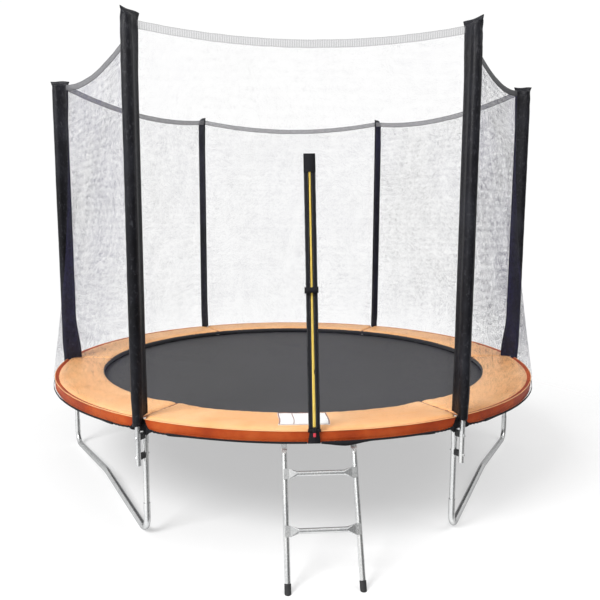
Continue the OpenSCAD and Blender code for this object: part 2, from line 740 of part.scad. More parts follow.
if (on("top_rail_1")) top_rail(1);
if (on("top_rail_2")) top_rail(2);
if (on("top_rail_3")) top_rail(3);
if (on("top_rail_4")) top_rail(4);
if (on("top_rail_5")) top_rail(5);
if (on("top_rail_6")) top_rail(6);
if (on("leg_upright_1")) leg_upright(1);
if (on("leg_upright_2")) leg_upright(2);
if (on("leg_upright_3")) leg_upright(3);
if (on("leg_upright_4")) leg_upright(4);
if (on("leg_upright_5")) leg_upright(5);
if (on("leg_upright_6")) leg_upright(6);
if (on("leg_base_rear")) leg_base(90);
if (on("leg_base_left")) leg_base(210);
if (on("leg_base_right")) leg_base(330);
if (on("pole_lower_1")) pole_lower(1);
if (on("pole_lower_2")) pole_lower(2);
if (on("pole_lower_3")) pole_lower(3);
if (on("pole_lower_4")) pole_lower(4);
if (on("pole_lower_5")) pole_lower(5);
if (on("pole_lower_6")) pole_lower(6);
if (on("pole_upper_1")) pole_upper(1);
if (on("pole_upper_2")) pole_upper(2);
if (on("pole_upper_3")) pole_upper(3);
if (on("pole_upper_4")) pole_upper(4);
if (on("pole_upper_5")) pole_upper(5);
if (on("pole_upper_6")) pole_upper(6);
if (on("pole_sleeve_1")) pole_sleeve(1);
if (on("pole_sleeve_2")) pole_sleeve(2);
if (on("pole_sleeve_3")) pole_sleeve(3);
if (on("pole_sleeve_4")) pole_sleeve(4);
if (on("pole_sleeve_5")) pole_sleeve(5);
if (on("pole_sleeve_6")) pole_sleeve(6);
if (on("pole_foam")) pole_foam();
if (on("pole_spacers")) pole_spacers();
if (on("pole_bolts")) pole_bolts();
if (on("pole_nuts")) pole_nuts();
if (on("springs")) springs();
if (on("pad_foam")) pad_foam();
if (on("pad_cover")) pad_cover();
if (on("safety_net")) safety_net();
if (on("net_top_hem")) net_top_hem();
if (on("net_bottom_hem")) net_bottom_hem();
if (on("zip_tape")) zip_tape();
if (on("zip_coil")) zip_coil();
if (on("zip_end")) zip_end();
if (on("door_base_tab")) door_base_tab();
if (on("jump_mat")) jump_mat();
if (on("mat_webbing")) mat_webbing();
if (on("mat_tabs")) mat_tabs();
if (on("mat_v_rings")) mat_v_rings();
if (on("ladder_rail_left")) ladder_rail(-1);
if (on("ladder_rail_right")) ladder_rail(1);
if (on("ladder_step_upper")) ladder_step(step_high_z);
if (on("ladder_step_lower")) ladder_step(step_low_z);
if (on("ladder_feet")) ladder_feet();
if (on("ladder_bolts")) ladder_bolts();
if (on("zip_slider")) zip_slider();
if (on("zip_pull")) zip_pull();
if (on("keeper_strap")) keeper_strap();
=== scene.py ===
"""Round trampoline with a safety net.

The origin is at the centre, level with the jumping mat, +Z is up and the ground is below.
Six poles stand 60 degrees apart, the first on +X, counted anticlockwise from above. A net
panel follows each pole: the fifth has the zipped door, faces -Y and looks at the camera.
Lengths are metres. Heights passed to level() are above the ground.
"""

from math import acos, asin, atan2, copysign, cos, degrees, exp, hypot, pi, radians, sin, sqrt

import bmesh
import bpy
import numpy as np
from mathutils import Matrix, Vector, noise
from mathutils.kdtree import KDTree


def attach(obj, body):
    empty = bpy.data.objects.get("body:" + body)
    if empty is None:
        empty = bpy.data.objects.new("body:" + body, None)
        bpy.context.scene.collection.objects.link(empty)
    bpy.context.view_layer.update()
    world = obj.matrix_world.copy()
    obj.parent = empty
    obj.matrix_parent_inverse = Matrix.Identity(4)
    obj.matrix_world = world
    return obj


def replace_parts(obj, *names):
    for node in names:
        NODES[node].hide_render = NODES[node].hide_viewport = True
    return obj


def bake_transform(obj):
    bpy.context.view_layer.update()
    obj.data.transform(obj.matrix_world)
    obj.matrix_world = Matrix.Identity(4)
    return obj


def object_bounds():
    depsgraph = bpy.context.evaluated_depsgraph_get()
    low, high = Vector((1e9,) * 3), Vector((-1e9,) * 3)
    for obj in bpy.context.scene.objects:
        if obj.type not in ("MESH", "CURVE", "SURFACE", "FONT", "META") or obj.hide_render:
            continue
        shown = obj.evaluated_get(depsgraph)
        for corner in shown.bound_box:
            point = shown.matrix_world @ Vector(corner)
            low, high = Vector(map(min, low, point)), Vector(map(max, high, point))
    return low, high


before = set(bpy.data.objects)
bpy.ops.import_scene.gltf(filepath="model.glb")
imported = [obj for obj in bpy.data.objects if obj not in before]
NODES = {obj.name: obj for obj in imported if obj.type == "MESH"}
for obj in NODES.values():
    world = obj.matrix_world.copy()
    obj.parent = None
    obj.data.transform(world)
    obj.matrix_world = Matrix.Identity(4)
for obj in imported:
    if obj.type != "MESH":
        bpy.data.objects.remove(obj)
CAD_BOX = [list(corner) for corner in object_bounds()]
GROUND = CAD_BOX[0][2]
SCENE = bpy.context.scene

# ------------------------------------------------------------------ dimensions
POLE_RADIUS = 1.550  # from the centre to each pole's axis
RING_LEVEL = 0.555  # springs and V-rings
COVER_IN = 1.245
COVER_OUT = 1.540
NET_TOP_RADIUS = POLE_RADIUS - 0.062  # the net's upper corners
NET_FOOT_RADIUS = 1.546
NET_FOOT = 0.612  # level where the net meets the cover
NET_LOW_EDGE = 0.545
NET_BAND = 0.036  # height of the band on the net's top edge
DOOR = 4  # index of the panel with the door
ZIP_PLACE = 0.5297  # share of the door panel's width
ZIP_TOP = 1.828


def level(height):
    """The z of a height above the ground."""
    return GROUND + height


def ease(t):
    """Smooth step from 0 to 1."""
    t = min(max(t, 0.0), 1.0)
    return t * t * (3 - 2 * t)


def bell(t):
    return exp(-(t ** 2))


def wobble(x, y, z, seed=0.0):
    """Smooth noise, shifted by a seed."""
    return noise.noise(Vector((x + 17.3 * seed, y - 9.1 * seed, z + 5.7 * seed)))


def polar(radius, angle, z):
    return (radius * cos(angle), radius * sin(angle), z)


def axes(angle):
    """Unit vectors that point outwards and anticlockwise at an angle."""
    return Vector((cos(angle), sin(angle), 0)), Vector((-sin(angle), cos(angle), 0))


def up(z):
    return Vector((0, 0, z))


def turned(points, angle):
    """An array of points turned about the Z axis."""
    c, s = cos(angle), sin(angle)
    return points @ np.array([[c, -s, 0], [s, c, 0], [0, 0, 1]]).T


# ------------------------------------------------------------------ mesh tools
def make_object(name, verts, faces, uvs=None):
    """A smooth-shaded object in the scene; uvs holds one pair for each vertex."""
    mesh = bpy.data.meshes.new(name)
    mesh.from_pydata([tuple(map(float, v)) for v in verts], [], [tuple(f) for f in faces])
    mesh.validate()
    mesh.update()
    if uvs is not None:
        layer = mesh.uv_layers.new(name="UVMap")
        for poly in mesh.polygons:
            for loop, vert in zip(poly.loop_indices, poly.vertices):
                layer.data[loop].uv = uvs[vert]
    thing = bpy.data.objects.new(name, mesh)
    SCENE.collection.objects.link(thing)
    for poly in mesh.polygons:
        poly.use_smooth = True
    return thing


def face_outwards(mesh):
    bm = bmesh.new()
    bm.from_mesh(mesh)
    bmesh.ops.recalc_face_normals(bm, faces=bm.faces)
    bm.to_mesh(mesh)
    bm.free()


class Shape:
    """Collects geometry for one piece made of many small shapes."""

    def __init__(self):
        self.verts, self.faces, self.uvs = [], [], []

    def grid(self, rows, close_along=False, close_across=False, uvs=None):
        """Quads between rows of points of equal length."""
        base, count, width = len(self.verts), len(rows), len(rows[0])
        self.verts += [tuple(map(float, point)) for row in rows for point in row]
        self.uvs += [pair for row in uvs for pair in row] if uvs else [(0.0, 0.0)] * count * width
        for i in range(count if close_along else count - 1):
            here, there = base + i * width, base + (i + 1) % count * width
            for j in range(width if close_across else width - 1):
                k = (j + 1) % width
                self.faces.append((here + j, here + k, there + k, there + j))

    def close_flat(self, start, width):
        """Closes a flattened ring of points with quads across it."""
        for j in range(width // 2 - 1):
            quad = (j, j + 1, width - 2 - j, width - 1 - j)
            self.faces.append(tuple(start + i for i in quad))

    def slab(self, rows):
        """A closed body through flattened rings; the shape's first geometry."""
        self.grid(rows, close_across=True)
        width = len(rows[0])
        self.close_flat(0, width)
        self.close_flat((len(rows) - 1) * width, width)

    def tube(self, path, radius, sides, caps=True):
        """A round tube along a list of points."""
        points = [Vector(p) for p in path]
        last = len(points) - 1
        start = (points[1] - points[0]).normalized()
        ref = up(1) if abs(start.z) < 0.9 else Vector((1, 0, 0))
        normal = start.cross(ref).normalized()
        rings = []
        for i, point in enumerate(points):
            along = (points[min(i + 1, last)] - points[max(i - 1, 0)]).normalized()
            normal = (normal - along * normal.dot(along)).normalized()
            across = along.cross(normal)
            turns = [2 * pi * k / sides for k in range(sides)]
            rings.append([point + (normal * cos(t) + across * sin(t)) * radius for t in turns])
        base = len(self.verts)
        self.grid(rings, close_across=True)
        if caps:
            self.faces.append(tuple(range(base, base + sides))[::-1])
            self.faces.append(tuple(base + last * sides + k for k in range(sides)))

    def stitch(self, start, step, rise, radius, sides=4, caps=True):
        """A short thread over a step, raised in its middle."""
        self.tube([start, start + step / 2 + rise, start + step], radius, sides, caps)

    def ribbon(self, rows, thick):
        """A flat strip. rows: one edge, other edge, normal; UVs are in metres."""
        points, uvs = [], []
        length = 0.0
        before = None
        for one, other, normal in rows:
            one, other = Vector(one), Vector(other)
            half = Vector(normal).normalized() * (thick / 2)
            middle = (one + other) / 2
            if before is not None:
                length += (middle - before).length
            before = middle
            width = (other - one).length
            points.append([one + half, other + half, other - half, one - half])
            uvs.append([(length, 0), (length, width), (length, width), (length, 0)])
        first = len(self.verts)
        self.grid(points, close_across=True, uvs=uvs)
        last = len(self.verts) - 4
        self.faces.append((first, first + 1, first + 2, first + 3))
        self.faces.append((last + 3, last + 2, last + 1, last))

    def finish(self, name, materials, slot=None, body="frame"):
        thing = make_object(name, self.verts, self.faces, self.uvs)
        for material in materials if isinstance(materials, list) else [materials]:
            thing.data.materials.append(material)
        face_outwards(thing.data)
        if body:
            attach(thing, body)
        return thing


# ------------------------------------------------------------------ shader tools
class Value:
    """An output socket; each operation on it adds a node."""

    def __init__(self, graph, socket):
        self.graph, self.socket = graph, socket

    def math(self, operation, other=None):
        return self.graph.math(operation, self, other)

    def __add__(self, other):
        return self.math("ADD", other)

    def __sub__(self, other):
        return self.math("SUBTRACT", other)

    def __mul__(self, other):
        return self.math("MULTIPLY", other)

    def __truediv__(self, other):
        return self.math("DIVIDE", other)

    def __pow__(self, other):
        return self.math("POWER", other)

    def wave(self, pitch):
        return (self * (2 * pi / pitch)).math("SINE")

    def remap(self, span, to=(0.0, 1.0)):
        inputs = dict(enumerate((self, *span, *to)))
        return self.graph.value("ShaderNodeMapRange", inputs)

    def split(self):
        node = self.graph.node("ShaderNodeSeparateXYZ", {0: self})
        return [Value(self.graph, socket) for socket in node.outputs]

    def scaled(self, x, y, z):
        inputs = {0: self, 1: (x, y, z)}
        return self.graph.value("ShaderNodeVectorMath", inputs, operation="MULTIPLY")

    def dot(self, other):
        inputs = {0: self, 1: other}
        return self.graph.value("ShaderNodeVectorMath", inputs, "Value", operation="DOT_PRODUCT")

    def noise(self, scale, detail, rough=0.5, warp=0.0):
        inputs = {"Vector": self, "Scale": scale, "Detail": detail, "Roughness": rough,
                  "Distortion": warp}
        return self.graph.value("ShaderNodeTexNoise", inputs, "Fac")

    def voronoi(self, scale, feature="F1"):
        inputs = {"Vector": self, "Scale": scale}
        return self.graph.value("ShaderNodeTexVoronoi", inputs, "Distance", feature=feature)

    def ramp(self, *stops):
        """stops: position and colour."""
        node = self.graph.node("ShaderNodeValToRGB", {0: self})
        elements = node.color_ramp.elements
        while len(elements) < len(stops):
            elements.new(0.5)
        for element, (position, colour) in zip(elements, stops):
            element.position = position
            element.color = (*colour, 1)
        return Value(self.graph, node.outputs[0])

    def mix(self, none, full):
        """Two colours mixed by this value."""
        inputs = {0: self, 6: none, 7: full}
        return self.graph.value("ShaderNodeMix", inputs, 2, data_type="RGBA")

    def bump(self, strength, distance):
        inputs = {"Strength": strength, "Distance": distance, "Height": self}
        return self.graph.value("ShaderNodeBump", inputs)


class Graph:
    """The node tree of a new material or world."""

    def __init__(self, owner, output="ShaderNodeOutputMaterial"):
        owner.use_nodes = True
        self.owner, self.tree = owner, owner.node_tree
        self.tree.nodes.clear()
        self.output = self.tree.nodes.new(output)
        self.coords = None

    def node(self, kind, inputs={}, **settings):
        node = self.tree.nodes.new(kind)
        for key, setting in settings.items():
            setattr(node, key, setting)
        for key, value in inputs.items():
            socket = node.inputs[key]
            if isinstance(value, Value):
                self.tree.links.new(value.socket, socket)
            elif value is not None:
                socket.default_value = (*value, 1) if socket.type == "RGBA" else value
        return node

    def value(self, kind, inputs={}, output=0, **settings):
        return Value(self, self.node(kind, inputs, **settings).outputs[output])

    def outputs(self, kind, *names):
        node = self.node(kind)
        return [Value(self, node.outputs[name]) for name in names]

    def coord(self, output="Object"):
        if self.coords is None:
            self.coords = self.node("ShaderNodeTexCoord")
        return Value(self, self.coords.outputs[output])

    def math(self, operation, first, second=None, clamp=False):
        inputs = {0: first, 1: second}
        return self.value("ShaderNodeMath", inputs, operation=operation, use_clamp=clamp)

    def combine(self, x, y, z):
        return self.value("ShaderNodeCombineXYZ", {0: x, 1: y, 2: z})

    def principled(self, colour, rough, metal=0.0, normal=None, **more):
        inputs = {"Base Color": colour, "Roughness": rough, "Metallic": metal, "Normal": normal}
        inputs.update({key.replace("_", " "): value for key, value in more.items()})
        return self.value("ShaderNodeBsdfPrincipled", inputs)

    def transparent(self):
        return self.value("ShaderNodeBsdfTransparent")

    def mix_shader(self, amount, none, full):
        return self.value("ShaderNodeMixShader", {0: amount, 1: none, 2: full})

    def finish(self, shader):
        self.tree.links.new(shader.socket, self.output.inputs[0])
        return self.owner


def new_material(name):
    graph = Graph(bpy.data.materials.new(name))
    return graph, graph.coord()


# ------------------------------------------------------------------ materials
def zinc(name):
    """Plated tube: a bright skin with faint clouds and streaks along Z."""
    graph, place = new_material(name)
    cloud = place.scaled(1, 1, 0.30).noise(scale=16, detail=4, rough=0.55)
    spangle = place.scaled(1, 1, 0.6).noise(scale=150, detail=3, rough=0.6)
    fine = place.scaled(1, 1, 0.06).noise(scale=800, detail=3, rough=0.6)
    tone = spangle * 0.25 + cloud * 0.75
    colour = tone.ramp((0.34, (0.74, 0.75, 0.76)), (0.52, (0.84, 0.85, 0.85)),
                       (0.70, (0.92, 0.92, 0.91)))
    # painted shade: darker towards the silhouette
    facing = graph.value("ShaderNodeLayerWeight", {"Blend": 0.5}, "Facing")
    edge = (facing ** 2.0).remap((0.14, 0.80), to=(0.0, 0.92))
    colour = edge.mix(colour, (0.07, 0.075, 0.08))
    rough = (spangle * 0.4 + fine * 0.6).remap((0.2, 0.8), to=(0.20, 0.32))
    normal = (fine * 0.5 + spangle * 0.2).bump(strength=0.035, distance=0.0004)
    return graph.finish(graph.principled(colour, rough, metal=0.92, normal=normal))


def spring_steel():
    graph, place = new_material("spring_zinc")
    cloud = place.noise(scale=60, detail=4, rough=0.6)
    colour = cloud.ramp((0.3, (0.42, 0.43, 0.45)), (0.7, (0.72, 0.73, 0.75)))
    rough = cloud.remap((0.2, 0.8), to=(0.25, 0.45))
    normal = place.noise(scale=1500, detail=2).bump(strength=0.1, distance=0.0003)
    return graph.finish(graph.principled(colour, rough, metal=0.95, normal=normal))


def vinyl(name, base, light, dark, rough, weave, bump, specular, polar_weave=False, coat=0.0,
          crinkle_highlight=None):
    """Coated woven cloth: a scrim weave under a skin, with creases and scuffs; painted shade
    darkens the creases and optional painted highlights brighten crumpled skin.
    """
    graph, place = new_material(name)
    x, y, z = place.split()
    if polar_weave:
        across = (x * x + y * y).math("SQRT") + z
        along = y.math("ARCTAN2", x) * 1.45
    else:
        across, along = x * 0.7 + y * 0.7, z
    threads = across.wave(weave) + along.wave(weave)
    cloud = place.noise(scale=5.5, detail=4, rough=0.55)
    scuff = place.noise(scale=70, detail=5, rough=0.65, warp=0.4)
    cells = graph.combine(across * 1.0, along, cloud * 0.15)
    crease = cells.voronoi(scale=16, feature="DISTANCE_TO_EDGE")
    crease = crease.remap((0.0, 0.05), to=(1.0, 0.0))
    colour = cloud.ramp((0.28, dark), (0.5, base), (0.75, light))
    colour = (scuff.remap((0.55, 0.8)) * 0.16).mix(colour, light)
    # painted shade: the colour darkens along the creases
    colour = (crease * 0.10).mix(colour, dark)
    height = threads * 0.12 + scuff * 0.5
    if crinkle_highlight:
        # painted highlights: short bright streaks where the tight skin is crumpled; the crumple
        # also bumps the normal
        crumple = graph.combine(x * 1.0, y, along * 0.55)
        crumple = crumple.noise(scale=85, detail=4, rough=0.7, warp=0.6)
        colour = (crumple.remap((0.54, 0.72)) * 0.75).mix(colour, crinkle_highlight)
        height = height + crumple * 1.4
    normal = (height - crease * 0.6).bump(strength=bump, distance=0.0009)
    shine = (scuff * 0.6 + cloud * 0.4).remap((0.3, 0.7), to=rough)
    return graph.finish(graph.principled(colour, shine, normal=normal, Coat_Weight=coat,
                                         Coat_Roughness=0.35, Specular_IOR_Level=specular))


def webbing():
    """Woven strap, ribbed along its UVs."""
    graph, place = new_material("webbing_black")
    u, v, _ = graph.coord("UV").split()
    pitch = 0.0016
    rib = (u.wave(pitch) * v.wave(pitch / 0.8) + 1.0) * 0.5
    height = rib * 0.5 + place.noise(scale=420, detail=3, rough=0.6) * 0.5
    colour = height.ramp((0.2, (0.005, 0.005, 0.007)), (0.85, (0.020, 0.020, 0.023)))
    normal = height.bump(strength=0.6, distance=0.0006)
    return graph.finish(graph.principled(colour, 0.82, normal=normal, Sheen_Weight=0.015,
                                         Specular_IOR_Level=0.18))


def plastic(name, colour, rough, light=None):
    graph, place = new_material(name)
    grain = place.noise(scale=900, detail=2)
    smear = place.noise(scale=40, detail=4, rough=0.6)
    light = light or tuple(min(1, c * 1.6 + 0.01) for c in colour)
    tone = smear.ramp((0.35, colour), (0.75, light))
    shine = smear.remap((0.3, 0.7), to=(rough - 0.08, rough + 0.12))
    normal = grain.bump(strength=0.25, distance=0.0003)
    return graph.finish(graph.principled(tone, shine, normal=normal))


def net(name, cover):
    """Knitted mesh: thin threads with open holes, which close up when seen aslant."""
    graph, place = new_material(name)
    u, v, _ = graph.coord("UV").split()
    per_metre = 1.0 / 0.0034
    sway = (place.noise(scale=60, detail=2) - 0.5) * 0.0022
    rising = ((u + v + sway) * per_metre).math("FRACT")
    falling = ((u - v + sway) * per_metre).math("FRACT")
    flat = graph.combine(u, v, 0.0)
    grain = graph.combine(u, v * 0.6, 0.0).noise(scale=62, detail=4, rough=0.8)
    broad = flat.noise(scale=5.0, detail=3, rough=0.6)
    normal, incoming = graph.outputs("ShaderNodeNewGeometry", "Normal", "Incoming")
    slant = normal.dot(incoming).math("ABSOLUTE").math("MAXIMUM", 0.30)
    # uneven rows of knitting, and soft creases that hang down the panel
    patches = flat.noise(scale=21.0, detail=2, rough=0.6)
    knitting = (v * 150.0 + patches * 9.0).math("SINE")
    hang = graph.combine(u * 16.0 + v * 3.0, v * 2.0, 0.0).noise(scale=1.0, detail=3, rough=0.6)
    width = grain.remap((0.36, 0.64), to=(0.30, 1.70)) * broad.remap((0.3, 0.7), to=(0.70, 1.30))
    width = width * patches.remap((0.34, 0.66), to=(0.74, 1.26))
    width = width * knitting.remap((-1.0, 1.0), to=(0.80, 1.20))
    width = width * hang.remap((0.34, 0.66), to=(0.78, 1.22))
    # thinner threads just above the cover
    width = width * v.remap((0.60, 0.90), to=(0.35, 1.0))
    width = width * (cover * 0.5) / slant
    threads = rising.math("LESS_THAN", width).math("MAXIMUM", falling.math("LESS_THAN", width))
    tint = place.noise(scale=1.6, detail=2).remap((0.35, 0.65))
    colour = tint.mix((0.024, 0.024, 0.026), (0.040, 0.035, 0.100))
    thread = graph.principled(colour, 0.9, Specular_IOR_Level=0.05)
    return graph.finish(graph.mix_shader(threads, graph.transparent(), thread))


def band(name, dense, tone=1.0):
    """Translucent grey band with fine ribs; UV v runs up its height."""
    # tone below 1 darkens this copy's colours as painted shade
    def shade(*rgb):
        return tuple(c * tone for c in rgb)

    graph, place = new_material(name)
    u, v, _ = graph.coord("UV").split()
    rib = (u.wave(0.0105) + 1.0) * 0.5
    fine = (u.wave(0.0021) + 1.0) * 0.5
    grain = place.noise(scale=130, detail=3, rough=0.6)
    edge = (v * (1 / NET_BAND) - 0.5).math("ABSOLUTE").remap((0.36, 0.46))
    colour = (rib * 0.55 + grain * 0.45).ramp((0.2, shade(0.12, 0.12, 0.13)),
                                              (0.8, shade(0.34, 0.34, 0.36)))
    colour = (edge * 0.4).mix(colour, shade(0.07, 0.07, 0.075))
    normal = (rib + fine).bump(strength=0.4, distance=0.0008)
    cloth = graph.principled(colour, 0.75, normal=normal)
    alpha = graph.math("ADD", dense * 0.72, (rib * 0.45 + edge * 0.35) * dense, clamp=True)
    return graph.finish(graph.mix_shader(alpha, graph.transparent(), cloth))


def mat_weave():
    """Woven sheet: flat tapes over and under, slightly glossy."""
    graph, place = new_material("mat_weave")
    x, y, _ = place.split()
    tapes = x.wave(0.0030) * y.wave(0.0030)
    fine = place.noise(scale=700, detail=3, rough=0.6)
    cloud = place.noise(scale=3.2, detail=5, rough=0.6)
    grit = place.noise(scale=160, detail=4, rough=0.7)
    tone = (tapes + 1.0) * 0.22 + (fine * 0.3 + grit * 0.3)
    colour = tone.ramp((0.25, (0.020, 0.020, 0.022)), (0.75, (0.088, 0.088, 0.092)))
    colour = cloud.remap((0.35, 0.75), to=(0.0, 0.35)).mix(colour, (0.075, 0.074, 0.082))
    rough = grit.remap((0.3, 0.7), to=(0.50, 0.70))
    normal = (tapes + fine * 0.6).bump(strength=0.5, distance=0.0006)
    return graph.finish(graph.principled(colour, rough, normal=normal, Specular_IOR_Level=0.30))


def foam():
    graph, place = new_material("foam_grey")
    cells = place.voronoi(scale=420)
    tone = cells * 0.5 + place.noise(scale=60, detail=4, rough=0.6) * 0.5
    colour = tone.ramp((0.2, (0.16, 0.16, 0.17)), (0.8, (0.34, 0.34, 0.35)))
    normal = cells.bump(strength=0.7, distance=0.001)
    return graph.finish(graph.principled(colour, 0.9, normal=normal))


def cloth(name, dark, light):
    graph, place = new_material(name)
    x, y, z = place.split()
    weave = x.wave(0.0011) * (y + z).wave(0.0011)
    tone = (weave + 1.0) * 0.25 + place.noise(scale=300, detail=3, rough=0.6) * 0.5
    colour = tone.ramp((0.2, dark), (0.8, light))
    normal = tone.bump(strength=0.5, distance=0.0005)
    return graph.finish(graph.principled(colour, 0.75, normal=normal, Sheen_Weight=0.2))


ZINC = zinc("zinc")
SPRING = spring_steel()
# one orange vinyl for the whole cover in two copies: the top's painted lighter as its lit copy,
# the skirt's painted darker and redder as its shaded copy
ORANGE_LIT = vinyl("cover_top", base=(0.88, 0.465, 0.205), light=(0.93, 0.54, 0.27),
               dark=(0.83, 0.40, 0.155), rough=(0.34, 0.52), weave=0.0014, bump=0.22,
               specular=0.35, polar_weave=True, coat=0.08)
ORANGE_SHADED = vinyl("cover_skirt", base=(0.41, 0.056, 0.006), light=(0.54, 0.110, 0.020),
                    dark=(0.28, 0.030, 0.003), rough=(0.42, 0.62), weave=0.0014, bump=0.35,
                    specular=0.22, polar_weave=True)
# the sleeves get painted highlights on their crumpled skin
PVC_BLACK = vinyl("sleeve_pvc", base=(0.006, 0.006, 0.009), light=(0.016, 0.017, 0.023),
                  dark=(0.003, 0.003, 0.004), rough=(0.34, 0.50), weave=0.0012, bump=0.45,
                  specular=0.22, crinkle_highlight=(0.050, 0.050, 0.058))
WEBBING = webbing()
STITCH_BLACK = cloth("stitch_black", dark=(0.05, 0.05, 0.055), light=(0.12, 0.12, 0.13))
NET = net("net_mesh", cover=0.082)
NET_SIDE = net("net_mesh_side", cover=0.118)
NET_DOOR = net("net_mesh_door", cover=0.036)
# one grey band all round: the left and right copies are darkened by tone as painted shade, and
# the copies differ in how dense they are
BAND = band("net_band", dense=0.62)
BAND_DOOR = band("net_band_door", dense=0.25)
BAND_LEFT_SHADED = band("net_band_left", dense=0.75, tone=0.72)
BAND_RIGHT_SHADED = band("net_band_right", dense=0.95, tone=0.30)
MAT = mat_weave()
FOAM = foam()
BLACK_PLASTIC = plastic("plastic_black", (0.012, 0.012, 0.013), rough=0.48)
RUBBER = plastic("rubber_black", (0.014, 0.014, 0.015), rough=0.72)
BOLT = zinc("bolt_zinc")
SLIDER = plastic("slider_black", (0.016, 0.016, 0.018), rough=0.3)
YELLOW = plastic("coil_yellow", (0.92, 0.70, 0.11), rough=0.38, light=(0.98, 0.82, 0.26))
YELLOW_TAPE = cloth("tape_yellow", dark=(0.72, 0.50, 0.08), light=(0.90, 0.70, 0.20))
RED = cloth("tab_red", dark=(0.45, 0.012, 0.03), light=(0.75, 0.05, 0.08))
# painted shade: the seams are drawn in a darker orange than the cover, for the shade in their
# grooves
SEAM_SHADED = cloth("seam_shaded", dark=(0.30, 0.075, 0.02), light=(0.42, 0.12, 0.035))
UNDERSIDE = cloth("cover_underside", dark=(0.010, 0.010, 0.012), light=(0.035, 0.035, 0.040))
PATCH_LINE = cloth("patch_border", dark=(0.20, 0.035, 0.03), light=(0.32, 0.09, 0.07))
WHITE_PATCH = cloth("patch_white", dark=(0.80, 0.79, 0.77), light=(0.93, 0.93, 0.92))
THREAD_ORANGE = cloth("thread_orange", dark=(0.50, 0.13, 0.03), light=(0.70, 0.22, 0.06))
THREAD_GREY = cloth("thread_grey", dark=(0.16, 0.16, 0.17), light=(0.30, 0.30, 0.32))


# ------------------------------------------------------------------ CAD nodes that stay
STEEL = ("top_rail", "leg_", "pole_lower", "pole_upper", "ladder_rail", "ladder_step")


def paint_cad():
    steel = [name for name in NODES if name.startswith(STEEL)]
    for material, names in (
        (ZINC, [*steel, "pole_nuts", "ladder_bolts"]),
        (SPRING, ["mat_v_rings"]),
        (BLACK_PLASTIC, ["pole_spacers"]),
        (BOLT, ["pole_bolts"]),
        (RUBBER, ["ladder_feet"]),
        (SLIDER, ["zip_slider"]),
    ):
        for name in names:
            slots = NODES[name].data.materials
            slots.clear()
            slots.append(material)


# ------------------------------------------------------------------ pole sleeves
# A sleeve wraps the pole and narrows inwards to a seam. Its outline has x outwards from
# the pole's axis and y around, so the seam lies at negative x.
ARC_POINTS = 17  # points on each half of the outline, round the pole
FLANK_POINTS = 11  # and from there to the seam
SEAM_HALF = 0.0016  # half thickness of the sewn seam
# pole: level of the sleeve's lower end, extra reach of its seam near that end
SLEEVES = {1: (0.556, 0.029), 2: (0.556, 0.012), 3: (0.556, 0.012),
           4: (0.556, 0.029), 5: (0.566, 0.004), 6: (0.586, 0.004)}


def girth(height):
    """Radius of the padded sleeve: fuller in the middle than at its ends."""
    full = ease((height - 0.615) / 0.09) * (1 - 0.45 * ease((height - 2.25) / 0.12))
    return 0.0236 + 0.0040 * full


def seam_reach(height, flare):
    """Distance of the seam from the pole's axis."""
    return 0.067 + flare * ease((0.90 - height) / 0.28) + 0.007 * ease((height - 2.15) / 0.22)


def tangent(radius, reach):
    """Where the flank leaves the round part, and its angle from the seam."""
    angle = acos(min(1.0, radius / reach))
    return -radius * cos(angle), radius * sin(angle), angle


def flank(tangent_y, t, reach):
    """Half width at a share of the flank, drawn in a little between pole and seam."""
    half = tangent_y + (SEAM_HALF - tangent_y) * t
    if reach > 0.05:
        half -= 0.0035 * sin(pi * t)
    return max(half, SEAM_HALF)


def sleeve_outline(radius, reach):
    """Points from the outermost one to the seam and back along the other side."""
    tangent_x, tangent_y, seam_angle = tangent(radius, reach)
    half = []
    for i in range(ARC_POINTS):
        t = pi - (pi - seam_angle) * i / (ARC_POINTS - 1)
        half.append((-radius * cos(t), radius * sin(t)))
    for i in range(1, FLANK_POINTS + 1):
        t = i / FLANK_POINTS
        half.append((tangent_x + (-reach - tangent_x) * t, flank(tangent_y, t, reach)))
    return half + [(x, -y) for x, y in half[::-1]]


def sleeve_wrinkle(x, y, side, height, pole):
    """How far the cloth stands off: folds along the pole, creases across it."""
    upper = ease((height - 2.20) / 0.2)
    lower = ease((0.72 - height) / 0.1)
    fold = wobble(x * 60 * side, y * 60, height * 2.2, pole + 0.5 * side)
    fine = wobble(x * 120, y * 120, height * 16, pole + 3)
    crease = wobble(x * 25 + y * 18 * side, y * 25, height * 9, pole + 7)
    crease = max(0.0, 1 - abs(crease) * 9)
    offset = 0.0011 * fold + 0.0006 * fine - 0.0011 * crease * (0.5 + upper)
    offset += 0.0024 * upper * wobble(x * 45, y * 45, height * 28, pole + 11)
    offset += 0.0008 * lower * wobble(x * 50, y * 50, height * 30, pole)
    return max(offset, -0.0019)


